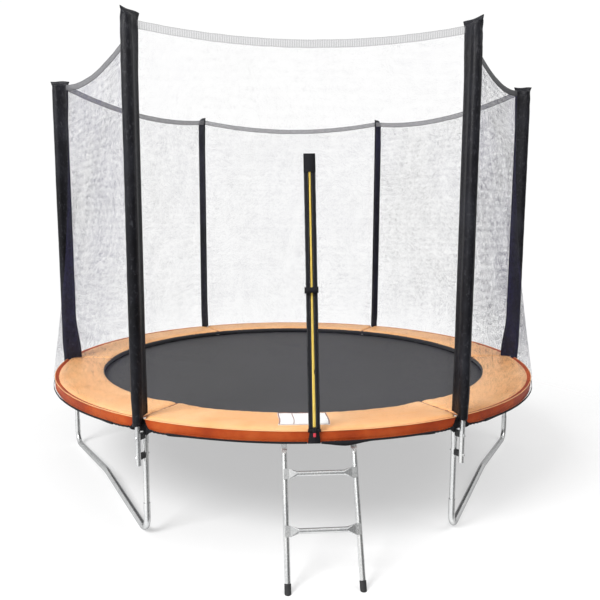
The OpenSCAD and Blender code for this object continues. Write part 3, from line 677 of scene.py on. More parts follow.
def sleeve_row(pole, height):
    low, flare = SLEEVES[pole]
    outward, around = axes(radians(60 * (pole - 1)))
    radius = girth(height)
    reach = seam_reach(height, flare)
    if height < 0.6085:
        # below the net the sleeve is round, without a seam
        reach = radius + (reach - radius) * ease((height - 0.6045) / 0.004)
    reach = max(reach, radius + 0.0002)
    # the top is sewn flat in the radial plane
    flat = min(max((height - 2.4005) / 0.027, 0), 1) ** 1.1
    row = []
    for j, (x, y) in enumerate(sleeve_outline(radius, reach)):
        side = 1 if j < ARC_POINTS + FLANK_POINTS else -1
        offset = sleeve_wrinkle(x, y, side, height, pole)
        length = hypot(x, y)
        normal = (x / length, y / length) if x > -0.008 else (0.25, copysign(0.97, y))
        out, across = x + normal[0] * offset, y + normal[1] * offset
        if abs(across) < 0.0010:
            across = copysign(0.0010, y)
        out = -0.024 + (out + 0.024) * (1 + 0.20 * flat)
        pressed = copysign(min(abs(across), SEAM_HALF), across)
        across = across * (1 - flat) + pressed * flat
        # sewn lines near both ends
        if flat > 0 and abs(height - 2.414) < 0.003:
            across *= 0.72
        if abs(height - (low + 0.020)) < 0.0035:
            out, across = out * 0.992, across * 0.975
        z = height
        if height > 2.39:
            z += 0.0025 * sin(out * 0 + (x + normal[0] * offset) * 60 + pole) \
                * ease((height - 2.40) / 0.03)
        if pole == 5:
            z += 0.014 * ease((height - 2.30) / 0.13)
        if height < low + 0.004:
            z += 0.002 * sin(atan2(y, x) * 3 + pole)
        row.append(outward * (POLE_RADIUS + out) + around * across + up(level(z)))
    return row


def sleeve(pole):
    low = SLEEVES[pole][0]
    heights = [*np.linspace(low, 0.600, 7), 0.604, 0.6065, 0.6085, 0.611, 0.616, 0.624,
               *np.linspace(0.636, 2.360, 150), *np.linspace(2.366, 2.430, 20)]
    rows = [sleeve_row(pole, float(height)) for height in heights]
    shape = Shape()
    shape.grid(rows, close_across=True)
    width = len(rows[0])
    shape.close_flat((len(rows) - 1) * width, width)
    # inner side of the open lower end
    outward, _ = axes(radians(60 * (pole - 1)))
    inner = []
    for row in (rows[0], rows[3]):
        centres = [outward * POLE_RADIUS + up(point.z) for point in row]
        inner.append([c + (point - c) * 0.94 for c, point in zip(centres, row)])
    shape.grid([rows[0], *inner], close_across=True)
    thing = shape.finish(f"sleeve_{pole}", PVC_BLACK, "black_pvc_cloth")
    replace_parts(thing, f"pole_sleeve_{pole}")


def sleeve_stitches(pole):
    """Two lines of stitches on each side of the seam."""
    outward, around = axes(radians(60 * (pole - 1)))
    shape = Shape()
    for side in (1, -1):
        height = 0.66
        while height < 2.39:
            reach = seam_reach(height, SLEEVES[pole][1])
            tangent_x, tangent_y, _ = tangent(girth(height), reach)
            for inset in (0.008, 0.013):
                x = -(reach - inset)
                t = (x - tangent_x) / (-reach - tangent_x)
                y = (flank(tangent_y, t, reach) + 0.0011) * side
                start = outward * (POLE_RADIUS + x) + around * y + up(level(height))
                shape.stitch(start, up(0.0064), around * (0.0004 * side), radius=0.00045)
            height += 0.0088
    shape.finish(f"sleeve_stitches_{pole}", STITCH_BLACK, "black_pvc_cloth")


def foam_tube(pole):
    """Foam on the pole, inside the sleeve."""
    bore_radius = 0.0132
    axis = axes(radians(60 * (pole - 1)))[0] * POLE_RADIUS
    turns = [2 * pi * j / 24 for j in range(24)]
    rows = []
    for height in map(float, np.linspace(0.592 if pole == 6 else 0.577, 2.392, 70)):
        ring = []
        for t in turns:
            dent = 0.0004 * wobble(cos(t) * 2, sin(t) * 2, height * 7, pole)
            ring.append(axis + Vector(polar(girth(height) - 0.0031 + dent, t, level(height))))
        rows.append(ring)
    bore = [[axis + Vector(polar(bore_radius, t, row[0].z)) for t in turns]
            for row in (rows[-1], rows[0])]
    shape = Shape()
    shape.grid([*rows, *bore, rows[0]], close_across=True)
    thing = shape.finish(f"foam_tube_{pole}", FOAM, "grey_foam")
    if pole == 1:
        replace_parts(thing, "pole_foam")


# ------------------------------------------------------------------ safety net
# Panel i spans the poles at 60 * i and 60 * i + 60 degrees; s runs from 0 to 1 between them.
PANEL_SPAN = 59.76  # degrees
TOP_APOTHEM = NET_TOP_RADIUS * cos(radians(30))


def panel_axes(i):
    return axes(radians(60 * i + 30))


def foot_angle(i, s):
    """Degrees off the panel's middle, and the angle in radians from +X."""
    off = (s - 0.5) * PANEL_SPAN
    return off, radians(60 * i + 30 + off)


def hem_level(y):
    """The top edge sags between the poles; y is from the panel's middle."""
    return 2.410 - 0.072 * (1 - (2 * y / NET_TOP_RADIUS) ** 2)


def net_point(i, s, v):
    """v runs from -1 (lower edge) through 0 (cover level) to 1 (top band)."""
    off, angle = foot_angle(i, s)
    from_pole = 30 - abs(off)
    radius = NET_TOP_RADIUS + (NET_FOOT_RADIUS - NET_TOP_RADIUS) * ease(from_pole / 4.5)
    foot = Vector(polar(radius, angle, NET_FOOT))
    if v < 0:
        drop = 0.01 + 0.99 * ease((from_pole - 4.0) / 2.0)
        foot.z = level(NET_FOOT + v * (NET_FOOT - NET_LOW_EDGE) * drop)
        return foot
    if i == DOOR:
        s = s - 0.0668 * s * (1 - s)
    y = (s - 0.5) * (NET_TOP_RADIUS - 0.008)
    outward, around = panel_axes(i)
    top = outward * TOP_APOTHEM + around * y + up(hem_level(y) - NET_BAND - 0.0005)
    point = foot.lerp(top, v)
    point.z = level(point.z)
    return point


# the zip's top as a share of the panel's height, half its tapes as a share of its width
ZIP_SHARE = (ZIP_TOP - NET_FOOT) / (hem_level(0) - 0.0365 - NET_FOOT)
TAPE_SHARE = 0.026 / 1.58


def net_wave(i, s, v):
    """How far the net stands off its ruled surface."""
    if v <= 0:
        return 0.0
    weight = sin(pi * v) * sin(pi * min(max(s, 0), 1)) ** 0.5
    if i == DOOR and v < ZIP_SHARE + 0.05:
        weight *= ease((abs(s - ZIP_PLACE) - 0.018) / 0.10)
    broad = 0.012 * wobble(s * 4.2, v * 3.0, i * 3.1)
    small = 0.004 * wobble(s * 14, v * 3.5, i * 5.7 + 2)
    return weight * (broad + small) - 0.010 * weight * sin(pi * s)


def net_sheet(shape, i, across, upward):
    outward, _ = panel_axes(i)
    rows, uvs = [], []
    for s in across:
        row = [net_point(i, s, v) + outward * (0.0006 + net_wave(i, s, v)) for v in upward]
        rows.append(row)
        uvs.append([(s * 1.56 + i * 1.7, net_point(i, s, v).z - GROUND) for v in upward])
    shape.grid(rows, uvs=uvs)


def net_panel(i):
    linspace = np.linspace
    upward = [*linspace(-1, 0, 5), *linspace(0, 1, 34)[1:]]
    start, end = linspace(0, 0.11, 18), linspace(0.89, 1, 18)[1:]
    shape = Shape()
    if i == DOOR:
        # one sheet on each side of the zip, and a narrow one above it
        before, after = ZIP_PLACE - TAPE_SHARE, ZIP_PLACE + TAPE_SHARE
        net_sheet(shape, i, [*start, *linspace(0.11, before + 0.001, 26)[1:]], upward)
        net_sheet(shape, i, [*linspace(after - 0.001, 0.89, 24), *end], upward)
        net_sheet(shape, i, linspace(before, after, 5), linspace(ZIP_SHARE - 0.01, 1, 12))
    else:
        net_sheet(shape, i, [*start, *linspace(0.11, 0.89, 42)[1:], *end], upward)
    material = {DOOR: NET_DOOR, 0: NET_SIDE, 5: NET_SIDE}.get(i, NET)
    thing = shape.finish(f"net_panel_{i + 1}", material, "net_mesh")
    if i == DOOR:
        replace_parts(thing, "safety_net")


# section of the top band: height from its top edge, offset outwards, UV v
BAND_SECTION = [
    (0.0, 0.0, 0.036), (-0.002, 0.0012, 0.034), (-0.018, 0.0016, 0.018),
    (-0.034, 0.0013, 0.002), (-0.036, 0.0, 0.0), (-0.034, -0.0010, 0.002),
    (-0.018, -0.0010, 0.018), (-0.002, -0.0010, 0.034),
]


def net_band(i):
    outward, around = panel_axes(i)
    rows, uvs = [], []
    for j in range(97):
        q = j / 96
        y = (q - 0.5) * (NET_TOP_RADIUS - 0.006)
        sway = 0.0030 * wobble(q * 9, i * 2.3, 0.5) * sin(pi * q)
        centre = outward * TOP_APOTHEM + around * y
        ring = []
        for down, out, _ in BAND_SECTION:
            z = hem_level(y) + down + 0.0012 * wobble(q * 26, down * 40, i)
            ring.append(centre + outward * (out + sway * (1 + 8 * down)) + up(level(z)))
        rows.append(ring)
        uvs.append([(q * NET_TOP_RADIUS, v) for _, _, v in BAND_SECTION])
    shape = Shape()
    shape.grid(rows, close_across=True, uvs=uvs)
    material = {3: BAND_LEFT_SHADED, DOOR: BAND_DOOR, 5: BAND_RIGHT_SHADED}.get(i, BAND)
    thing = shape.finish(f"net_band_{i + 1}", material, "grey_band")
    if i == 0:
        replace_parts(thing, "net_top_hem")


def net_binding(i):
    """Black binding on the lower edge, parted at the zip."""
    spans = [(0.103, 0.897)]
    if i == DOOR:
        spans = [(0.103, ZIP_PLACE - 0.0195), (ZIP_PLACE + 0.0195, 0.897)]
    shape = Shape()
    for start, end in spans:
        rows = []
        for j in range(81):
            s = start + (end - start) * j / 80
            outward, _ = axes(foot_angle(i, s)[1])
            point = net_point(i, s, -1)
            drop = 0.0018 * (0.5 + 0.5 * wobble(s * 7, i * 4.4, 1.7))
            if i == DOOR:
                drop += 0.016 * ease((s - ZIP_PLACE) / 0.10) * ease((0.70 - s) / 0.09)
            drop += 0.004 * ease((0.17 - min(s, 1 - s)) / 0.06)
            out = 0.0022 + 0.0010 * wobble(s * 20, i * 2.0, 4.0)
            rows.append((point + outward * out + up(0.0092),
                         point + outward * (out + 0.0006) + up(0.0014 - drop), outward))
        shape.ribbon(rows, 0.0022)
    thing = shape.finish(f"net_binding_{i + 1}", WEBBING, "black_webbing")
    if i == 0:
        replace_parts(thing, "net_bottom_hem")


def net_corner(k):
    """Gathered binding at the net's lower corner, passing on the inner side of a pole."""
    rows = []
    for j in range(-96, 97):
        q = j / 96 * 6.35  # degrees from the pole
        t = abs(q)
        outward, _ = axes(radians(60 * k + q))
        radius = 1.5240 + 0.0180 * ease((t - 1.02) / 1.0) + 0.0055 * ease((t - 2.2) / 2.4)
        radius += 0.0010 * sin(q * 8.5 + k) * ease((t - 1.9) / 0.8) * ease((6.3 - t) / 3.0)
        if (k == 4 and q > 0) or (k == 5 and q <= 0):
            # deeper on the door's side of its two poles
            top = 0.5515 + 0.0405 * ease((2.25 - t) / 1.2) + 0.004 * ease((4.2 - t) / 2.0)
            low = 0.5440 - 0.026 * ease((3.0 - t) / 1.8) + 0.016 * ease((0.70 - t) / 0.14)
        else:
            top = 0.5515 + 0.0405 * ease((1.95 - t) / 0.8) + 0.003 * ease((3.2 - t) / 1.5)
            low = 0.5440 - 0.011 * ease((2.3 - t) / 1.0)
        top += 0.0010 * sin(q * 11 + k)
        low -= 0.0008 * sin(q * 7 + 2 * k)
        low_radius = radius + (0.0010 if t > 1.2 else 0.0)
        rows.append((outward * radius + up(level(top)),
                     outward * low_radius + up(level(low)), outward))
    shape = Shape()
    shape.ribbon(rows, 0.0018)
    shape.finish(f"net_corner_{k + 1}", WEBBING, "black_webbing")


# ------------------------------------------------------------------ door zip
# The zip has its own frame in millimetres: x across it, -y outwards, z up along it.
ZIP_FOOT = net_point(DOOR, ZIP_PLACE, 0)
ZIP_RUN = (net_point(DOOR, ZIP_PLACE, 1) - ZIP_FOOT).normalized()
ZIP_TURN = (Matrix.Rotation(atan2(ZIP_RUN.x, ZIP_RUN.z), 3, "Y")
            @ Matrix.Rotation(-asin(ZIP_RUN.y), 3, "X")
            @ Matrix.Rotation(radians(1.2), 3, "Z"))
ZIP_OUT = ZIP_TURN @ Vector((0, -1, 0))
ZIP_LENGTH = (ZIP_TOP - NET_FOOT) / ZIP_RUN.z * 1000
COIL_LENGTH = ((ZIP_TOP - NET_FOOT) / ZIP_RUN.z - 0.084) * 1000


def zip_point(x, y, z):
    return ZIP_FOOT + ZIP_TURN @ Vector((x / 1000, y / 1000, z / 1000))


def zip_thread(shape, radius, sides, *points):
    shape.tube([zip_point(*point) for point in points], radius, sides)


def zip_row(half, y, z):
    """A ribbon row across the zip."""
    return zip_point(-half, y, z), zip_point(half, y, z), ZIP_OUT


def zip_tapes():
    shape = Shape()
    for side in (-1, 1):
        rows = []
        for j in range(121):
            z = -3.0 + (ZIP_LENGTH + 1.5) * j / 120
            gap = 2.0 + 2.6 * ease(1 - z / 700) * 0.6
            sway = 0.5 * wobble(z * 0.012, side * 3.0, 1.0)
            edge = side * (26.2 + 0.8 * wobble(z * 0.02, side, 2.2))
            y = -1.1 - 0.5 * wobble(z * 0.01, side * 2.0, 5.0)
            rows.append((zip_point(side * gap, y + sway * 0.3, z),
                         zip_point(edge, y - 0.2 + sway, z), ZIP_OUT))
        shape.ribbon(rows, 0.0010)
    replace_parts(shape.finish("zip_tapes", WEBBING, "black_webbing"), "zip_tape")


def zip_stitches():
    """Two lines of stitches on each tape."""
    shape = Shape()
    for side in (-1, 1):
        for inset in (9.5, 23.5):
            x = side * inset
            z = 4.0
            while z < ZIP_LENGTH - 6:
                zip_thread(shape, 0.00035, 4,
                           (x, -1.75, z), (x, -2.15, z + 1.8), (x, -1.75, z + 3.6))
                z += 5.4
    shape.finish("zip_stitches", THREAD_GREY, "black_webbing")


def zip_strip():
    """Yellow backing under the coil, wider towards the foot."""
    rows = []
    for j in range(90):
        z = 1 + (COIL_LENGTH - 2) * j / 89
        rows.append(zip_row(4.0 + 2.3 * ease(1 - z / 800), -1.66, z))
    shape = Shape()
    shape.ribbon(rows, 0.0005)
    shape.finish("zip_strip", YELLOW_TAPE, "yellow_coil")


def zip_teeth():
    shape = Shape()
    z = 2.0
    side = 1
    while z < COIL_LENGTH - 1.5:
        zip_thread(shape, 0.00052, 5,
                   (-side * 0.6, -2.3, z), (side * 0.8, -3.9, z + 0.15), (side * 2.4, -4.2, z),
                   (side * 3.6, -3.2, z - 0.1), (side * 3.6, -2.2, z - 0.1))
        z += 1.25
        side = -side
    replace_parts(shape.finish("zip_teeth", YELLOW, "yellow_coil"), "zip_coil")


def zip_end():
    """Cloth over the top of the coil, with a line of stitches on each side."""
    rows = []
    for j in range(25):
        y = -3.0 - 1.4 * sin(pi * j / 24) + 0.6
        rows.append(zip_row(27.0 - 1.2 * ease((j - 21) / 3), y, COIL_LENGTH - 3 + 86 * j / 24))
    shape = Shape()
    shape.ribbon(rows, 0.0014)
    for x in (-21.5, 21.5):
        for q in range(14):
            z = COIL_LENGTH + 4 + q * 5.4
            zip_thread(shape, 0.0004, 4, (x, -4.4, z), (x, -4.8, z + 2), (x, -4.4, z + 4))
    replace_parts(shape.finish("zip_end_cloth", WEBBING, "black_webbing"), "zip_end")


def door_tab():
    """Tab under the zip, widening downwards over the cover's skirt."""
    outward, around = axes(radians(270 + (ZIP_PLACE - 0.5) * PANEL_SPAN))
    rows = []
    for j in range(15):
        q = j / 14
        half = 0.0215 + 0.0075 * q ** 1.4
        out = NET_FOOT_RADIUS + 0.0030 + 0.0012 * sin(q * 2.6)
        centre = outward * out + up(level(0.606 - 0.060 * q))
        rows.append((centre - around * half, centre + around * half, outward))
    shape = Shape()
    shape.ribbon(rows, 0.0018)
    for q in range(9):
        half = 0.0185 + 0.0075 * (q / 9) ** 1.4
        centre = outward * (NET_FOOT_RADIUS + 0.0046) + up(level(0.600 - q * 0.0058))
        for side in (-1, 1):
            step = around * (side * 0.0006) - up(0.0036)
            shape.stitch(centre + around * side * half, step, outward * 0.0004, radius=0.0004)
    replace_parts(shape.finish("door_tab", WEBBING, "black_webbing"), "door_base_tab")


def door_foot_band():
    """A wide band across the zip's foot."""
    rows = []
    for j in range(13):
        x = -29 + 58 * j / 12
        bulge = 0.9 * cos(x / 29 * 1.4)
        rows.append((zip_point(x, -2.4 - bulge, 0.4), zip_point(x, -2.6 - bulge, -15), ZIP_OUT))
    shape = Shape()
    shape.ribbon(rows, 0.0014)
    shape.finish("door_foot_band", WEBBING, "black_webbing")


def zip_pull():
    """Two layers of red tab, black at the top, with a loop round the slider's bar."""
    shape = Shape()
    for depth, ripple in ((-11.9, 0.25), (-10.4, 0.2)):
        rows = []
        for j in range(22):
            q = j / 21
            half = 3.0 + 3.0 * ease((q - 0.18) / 0.12) - 1.6 * ease((q - 0.93) / 0.07)
            rows.append(zip_row(half, depth - ripple * sin(q * 9), 2.0 - 36 * q))
        shape.ribbon(rows, 0.0009)
    # the loop about its centre at y -11.1, z 3
    rows = []
    for j in range(13):
        t = -0.25 * pi + 1.5 * pi * j / 12
        y, z = -1.75 * cos(t), 1.75 * sin(t)
        one, other, _ = zip_row(2.7, -11.1 + y, 3 + z)
        rows.append((one, other, ZIP_TURN @ Vector((0, y, z))))
    shape.ribbon(rows, 0.0006)
    for q in range(6):
        x = -4.6 + 1.7 * q
        for z in (-8.5, -31):
            zip_thread(shape, 0.0003, 4,
                       (x, -12.5, z), (x + 0.4, -12.8, z - 0.3), (x + 1.2, -12.5, z))
    thing = shape.finish("zip_pull_tab", [RED, WEBBING], "red_tab", "zip_pull_body")
    for poly in thing.data.polygons:
        local = ZIP_TURN.transposed() @ (poly.center - ZIP_FOOT)
        poly.material_index = 1 if local.z * 1000 > -17 else 0
    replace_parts(thing, "zip_pull")


# section of the keeper strap in the zip's frame: x, y
KEEPER_SECTION = [
    (-31.0, -3.3), (-30.0, -5.2), (-26.6, -9.4), (-23.2, -13.6), (-20.5, -16.2), (-10, -16.5),
    (0, -16.7), (10, -16.5), (19.5, -16.2), (22.6, -12.6), (25.4, -8.2), (27.4, -4.8),
    (29.6, -4.2),
]
KEEPER_Z = 615
KEEPER_TILT = 0.045


def keeper_strap():
    """A webbing bridge over the zip, with a stitched line near each long edge."""
    points = []
    for (x0, y0), (x1, y1) in zip(KEEPER_SECTION, KEEPER_SECTION[1:]):
        points += [(x0 + (x1 - x0) * q / 4, y0 + (y1 - y0) * q / 4) for q in range(4)]
    points.append(KEEPER_SECTION[-1])
    rows = []
    for j, (x, y) in enumerate(points):
        x0, y0 = points[max(j - 1, 0)]
        x1, y1 = points[min(j + 1, len(points) - 1)]
        normal = ZIP_TURN @ Vector((y1 - y0, x0 - x1, 0))
        z = KEEPER_Z + KEEPER_TILT * x
        half = 14.2 - 1.8 * bell((x + 4) / 9.0)
        rows.append((zip_point(x, y, z - half), zip_point(x, y, z + half), normal))
    shape = Shape()
    shape.ribbon(rows, 0.0016)
    x, y = KEEPER_SECTION[0]
    zip_thread(shape, 0.0016, 12, *[(x, y, KEEPER_Z + z) for z in (-15, 0, 15)])
    for line in (-10.5, 10.5):
        for q in range(10):
            x = -18 + 3.9 * q
            z = KEEPER_Z + line + KEEPER_TILT * x
            zip_thread(shape, 0.00035, 4, (x, -17.5, z), (x + 1, -17.9, z), (x + 2.2, -17.5, z))
    thing = shape.finish("keeper_band", WEBBING, "black_webbing", "keeper_body")
    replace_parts(thing, "keeper_strap")


# ------------------------------------------------------------------ spring cover
COVER_MIDDLE = 0.5905  # level between the cover's top and underside
COVER_ROUNDING = 0.009  # width over which its edges are rounded
SKIRT_MARGIN = degrees(0.036 / COVER_OUT)  # degrees left free beside each pole
COVER_TOPS = []  # one for each segment: a tree of its top points and their z


def cover_edge(angle):
    """Outer radius of the cover at an angle in degrees, notched round each pole."""
    t = radians(min(abs(((angle + 30) % 60) - 30), 30)) * POLE_RADIUS
    radius = COVER_OUT - 0.001
    if t < 0.0295:
        radius = min(radius, POLE_RADIUS - sqrt(0.030 ** 2 - t * t))
    return radius


def segment_shape():
    """A closed slab for the segment between 0 and 60 degrees."""
    inner = COVER_IN + 0.003
    steps = 26
    rows = []
    for angle in np.concatenate([np.linspace(0.12, 1.9, 10), np.linspace(2.1, 57.9, 150),
                                 np.linspace(58.1, 59.88, 10)]):
        outer = cover_edge(angle) - 0.0085
        end = radians(min(angle - 0.05, 59.95 - angle)) * 1.4
        drop = 0.0065 * exp(-end / 0.009)

        def rounding(radius):
            near = min(radius - inner, outer - radius)
            return sqrt(max(0.0, 1 - (1 - min(near / COVER_ROUNDING, 1)) ** 2))

        ring = []
        for j in range(steps + 1):
            radius = inner + (outer - inner) * (j / steps)
            ring.append((radius, COVER_MIDDLE + (0.0115 - drop) * rounding(radius)))
        for j in range(steps + 1):
            radius = inner + (outer - inner) * (1 - j / steps)
            edge = rounding(radius)
            z = COVER_MIDDLE - (0.0070 - drop * 0.6) * edge - 0.0002
            z -= 0.0212 * ease((1.325 - radius) / 0.06) * edge
            ring.append((radius, z))
        rows.append([polar(radius, radians(angle), level(z)) for radius, z in ring])
    shape = Shape()
    shape.slab(rows)
    return shape


CLOTH = {
    "quality": 6, "mass": 0.3, "tension_stiffness": 22, "compression_stiffness": 22,
    "shear_stiffness": 8, "bending_stiffness": 0.8, "use_pressure": True,
    "uniform_pressure_force": 3.4,
}
CLOTH_FRAMES = 20
MAX_PUFF = 0.0055  # farthest a vertex may move


def simulate_segment():
    """Puffs the slab up as a cloth under pressure, its underside pinned."""
    start = segment_shape().finish("pad_sim", ORANGE_LIT, body=None)
    remesh = start.modifiers.new("Remesh", "REMESH")
    remesh.mode = "VOXEL"
    remesh.voxel_size = 0.0062
    depsgraph = bpy.context.evaluated_depsgraph_get()
    mesh = bpy.data.meshes.new_from_object(start.evaluated_get(depsgraph))
    bpy.data.objects.remove(start)
    sheet = bpy.data.objects.new("pad_sim", mesh)
    SCENE.collection.objects.link(sheet)
    rest = np.array([vert.co[:] for vert in mesh.vertices])
    pin = sheet.vertex_groups.new(name="pin")
    for i in np.nonzero(rest[:, 2] < level(0.5860))[0]:
        pin.add([int(i)], 0.85, "REPLACE")
    modifier = sheet.modifiers.new("Cloth", "CLOTH")
    settings = modifier.settings
    for key, setting in CLOTH.items():
        setattr(settings, key, setting)
    settings.effector_weights.gravity = 0
    settings.vertex_group_mass = "pin"
    modifier.collision_settings.use_collision = False
    settings.shrink_min = -0.012
    SCENE.frame_start, SCENE.frame_end = 1, CLOTH_FRAMES
    cache = modifier.point_cache
    cache.frame_start, cache.frame_end = 1, CLOTH_FRAMES
    for number in range(1, 19):
        SCENE.frame_set(number)
    evaluated = sheet.evaluated_get(bpy.context.evaluated_depsgraph_get())
    puffed = np.array([vert.co[:] for vert in evaluated.to_mesh().vertices])
    evaluated.to_mesh_clear()
    sheet.modifiers.clear()
    SCENE.frame_set(1)
    move = puffed - rest
    length = np.linalg.norm(move, axis=1, keepdims=True)
    move = move * np.minimum(1.0, MAX_PUFF / np.maximum(length, 1e-9))
    faces = [tuple(poly.vertices) for poly in mesh.polygons]
    bpy.data.objects.remove(sheet)
    return rest + move, faces


def smoothed(verts, faces):
    """Smooths the voxel steps away."""
    near = [[] for _ in verts]
    for face in faces:
        for one, other in zip(face, (*face[1:], face[0])):
            near[one].append(other)
            near[other].append(one)
    owners = np.concatenate([np.full(len(others), i) for i, others in enumerate(near)])
    others = np.concatenate([np.array(others) for others in near])
    count = np.bincount(owners, minlength=len(verts))[:, None]
    for _ in range(6):
        total = np.zeros_like(verts)
        np.add.at(total, owners, verts[others])
        verts = verts * 0.45 + (total / count) * 0.55
    return verts


# creases that run round the ring: radius, width, depth, seed
COVER_CREASES = [(1.322, 0.0055, 0.0016, 1.0), (1.418, 0.006, 0.0015, 4.0),
                 (1.487, 0.005, 0.0010, 8.0)]


def segment_detail(verts, k):
    """Creases, ripples and small dents of one segment, turned to its place."""
    out = verts.copy()
    for i, (x, y, z) in enumerate(verts):
        top = ease((z - level(0.592)) / 0.006)
        if top <= 0:
            continue
        radius = hypot(x, y)
        angle = degrees(atan2(y, x))
        end = radians(min(angle, 60 - angle)) * radius
        lift = 0.0010 * wobble(x * 9, y * 9, 0.3, k) + 0.0007 * wobble(x * 30, y * 30, 0.7, k + 2)
        for crease, width, depth, seed in COVER_CREASES:
            strength = 0.5 + 0.5 * wobble(angle * 0.09, seed, k * 2.7)
            middle = crease + 0.004 * wobble(angle * 0.05, seed + 2, k)
            lift -= depth * strength * bell((radius - middle) / width)
        # puckers where the segments are sewn together
        pucker = sin(radius * 210 + 3 * wobble(radius * 20, k, 1.0))
        lift += 0.0022 * exp(-end / 0.05) * pucker * (1 - exp(-end / 0.012))
        out[i, 2] += lift * top
    return turned(out, radians(60 * (k - 1)))


def cover_z(x, y, lift=0.0):
    """The z of the cover's top at a point, from the finished segments."""
    tree, heights = COVER_TOPS[int((degrees(atan2(y, x)) % 360) // 60)]
    near = [(i, 1 / (distance + 1e-4)) for _, i, distance in tree.find_n((x, y, 0), 4)]
    total = sum(weight for _, weight in near)
    return sum(heights[i] * weight for i, weight in near) / total + lift


def cover_segments():
    verts, faces = simulate_segment()
    verts = smoothed(verts, faces)
    for k in range(1, 7):
        placed = segment_detail(verts, k)
        tops = [point for point in placed if point[2] > level(0.5945)]
        tree = KDTree(len(tops))
        for i, (x, y, _) in enumerate(tops):
            tree.insert((x, y, 0), i)
        tree.balance()
        COVER_TOPS.append((tree, [z for _, _, z in tops]))
        thing = make_object(f"pad_segment_{k}", placed, faces)
        thing.data.materials.append(ORANGE_LIT)
        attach(thing, "frame")
        thing.data.materials.append(UNDERSIDE)
        for poly in thing.data.polygons:
            x, y, z = poly.center
            poly.material_index = 1 if z < level(0.5935) and hypot(x, y) < 1.50 else 0
        face_outwards(thing.data)
        if k == 1:
            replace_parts(thing, "pad_cover", "pad_foam")


def cover_seams():
    shape = Shape()
    # strips between the segments, drawn dark as painted shade in the seams' grooves
    for k in range(6):
        outward, around = axes(radians(60 * k))
        rows = []
        for j in range(41):
            radius = COVER_IN + 0.008 + (1.512 - COVER_IN - 0.008) * j / 40
            sides = [outward * radius + around * out for out in (0.010, -0.010)]
            z = min(cover_z(side.x, side.y) for side in sides) - 0.0012
            centre = outward * radius + up(z)
            rows.append((centre - around * 0.0055, centre + around * 0.0055, (0, 0, 1)))
        shape.ribbon(rows, 0.0012)
    # a sewn line just inside the outer edge, its dark colour painted shade beside the piping
    for k in range(6):
        rows = []
        for j in range(161):
            angle = radians(60 * k + SKIRT_MARGIN + (60 - 2 * SKIRT_MARGIN) * j / 160)
            radius = 1.5285 + 0.0008 * wobble(angle * 30, k, 3.0)
            outward, _ = axes(angle)
            z = cover_z(radius * outward.x, radius * outward.y, 0.0006)
            rows.append((outward * (radius - 0.0011) + up(z), outward * (radius + 0.0011) + up(z),
                         (0, 0, 1)))
        shape.ribbon(rows, 0.0010)
    shape.finish("pad_seams", SEAM_SHADED, "orange_pvc")


def cover_lining():
    """Black lining behind each joint, at the inner edge."""
    shape = Shape()
    for k in range(6):
        rows = []
        for j in range(13):
            outward, _ = axes(radians(60 * k + 0.5 * (j / 6 - 1)))
            edge = outward * (COVER_IN + 0.0085)
            rows.append((edge + up(level(0.5965)), edge + up(level(0.5690)), -outward))
        shape.ribbon(rows, 0.0012)
    shape.finish("pad_lining", UNDERSIDE, "orange_pvc")


# flange that turns in under the cover's edge: radius, level
FLANGE = [(1.5160, 0.5952), (1.5250, 0.5972), (1.5330, 0.5996), (1.5372, 0.6011)]
SKIRT_THICK = 0.0013


def cover_skirt(k):
    """Hangs from the outer edge, cut away with rounded corners at each pole."""
    columns, steps = 170, 14
    corner = 0.026  # radius of the rounded corners
    rows = []
    for j in range(columns + 1):
        a = 60 * k + SKIRT_MARGIN + (60 - 2 * SKIRT_MARGIN) * j / columns
        angle = radians(a)
        end = radians(min(a - 60 * k - SKIRT_MARGIN, 60 * k + 60 - SKIRT_MARGIN - a)) * COVER_OUT
        cut = 0.0
        if end < corner:
            cut = corner - sqrt(max(0.0, corner * corner - (corner - end) ** 2))
        depth = 0.0560 - cut * 0.95 + 0.0012 * wobble(a * 0.22, 2.0, k)
        outer, inner = [], []
        for q in range(steps + 1):
            t = q / steps
            z = 0.6015 - depth * t
            wave = 0.0016 * wobble(a * 0.16, t * 1.2, k + 5.0)
            wave += 0.0009 * wobble(a * 0.7, t * 2.0, k + 9.0)
            radius = COVER_OUT - 0.0008 + 0.0014 * sin(pi * min(t * 1.15, 1))
            radius += wave * (0.25 + t) * 0.8
            # a groove above the lower edge, and ends that curl in
            radius -= 0.0016 * bell((t * depth - depth + 0.010) / 0.0016) * 0.6
            radius -= 0.010 * exp(-end / 0.008) * t
            radius = min(radius, 1.5435)
            outer.append(polar(radius, angle, level(z)))
            inner_z = z - (0.0010 if q == 0 else 0)
            inner.append(polar(radius - SKIRT_THICK, angle, level(inner_z)))
        upper = [polar(radius, angle, level(z)) for radius, z in FLANGE]
        lower = [polar(radius, angle, level(z - SKIRT_THICK)) for radius, z in FLANGE]
        rows.append(upper + outer + inner[::-1] + lower[::-1])
    shape = Shape()
    shape.slab(rows)
    # painted shade: the skirt takes the darker, shaded copy of the cover's orange
    shape.finish(f"pad_skirt_{k + 1}", ORANGE_SHADED, "orange_pvc")


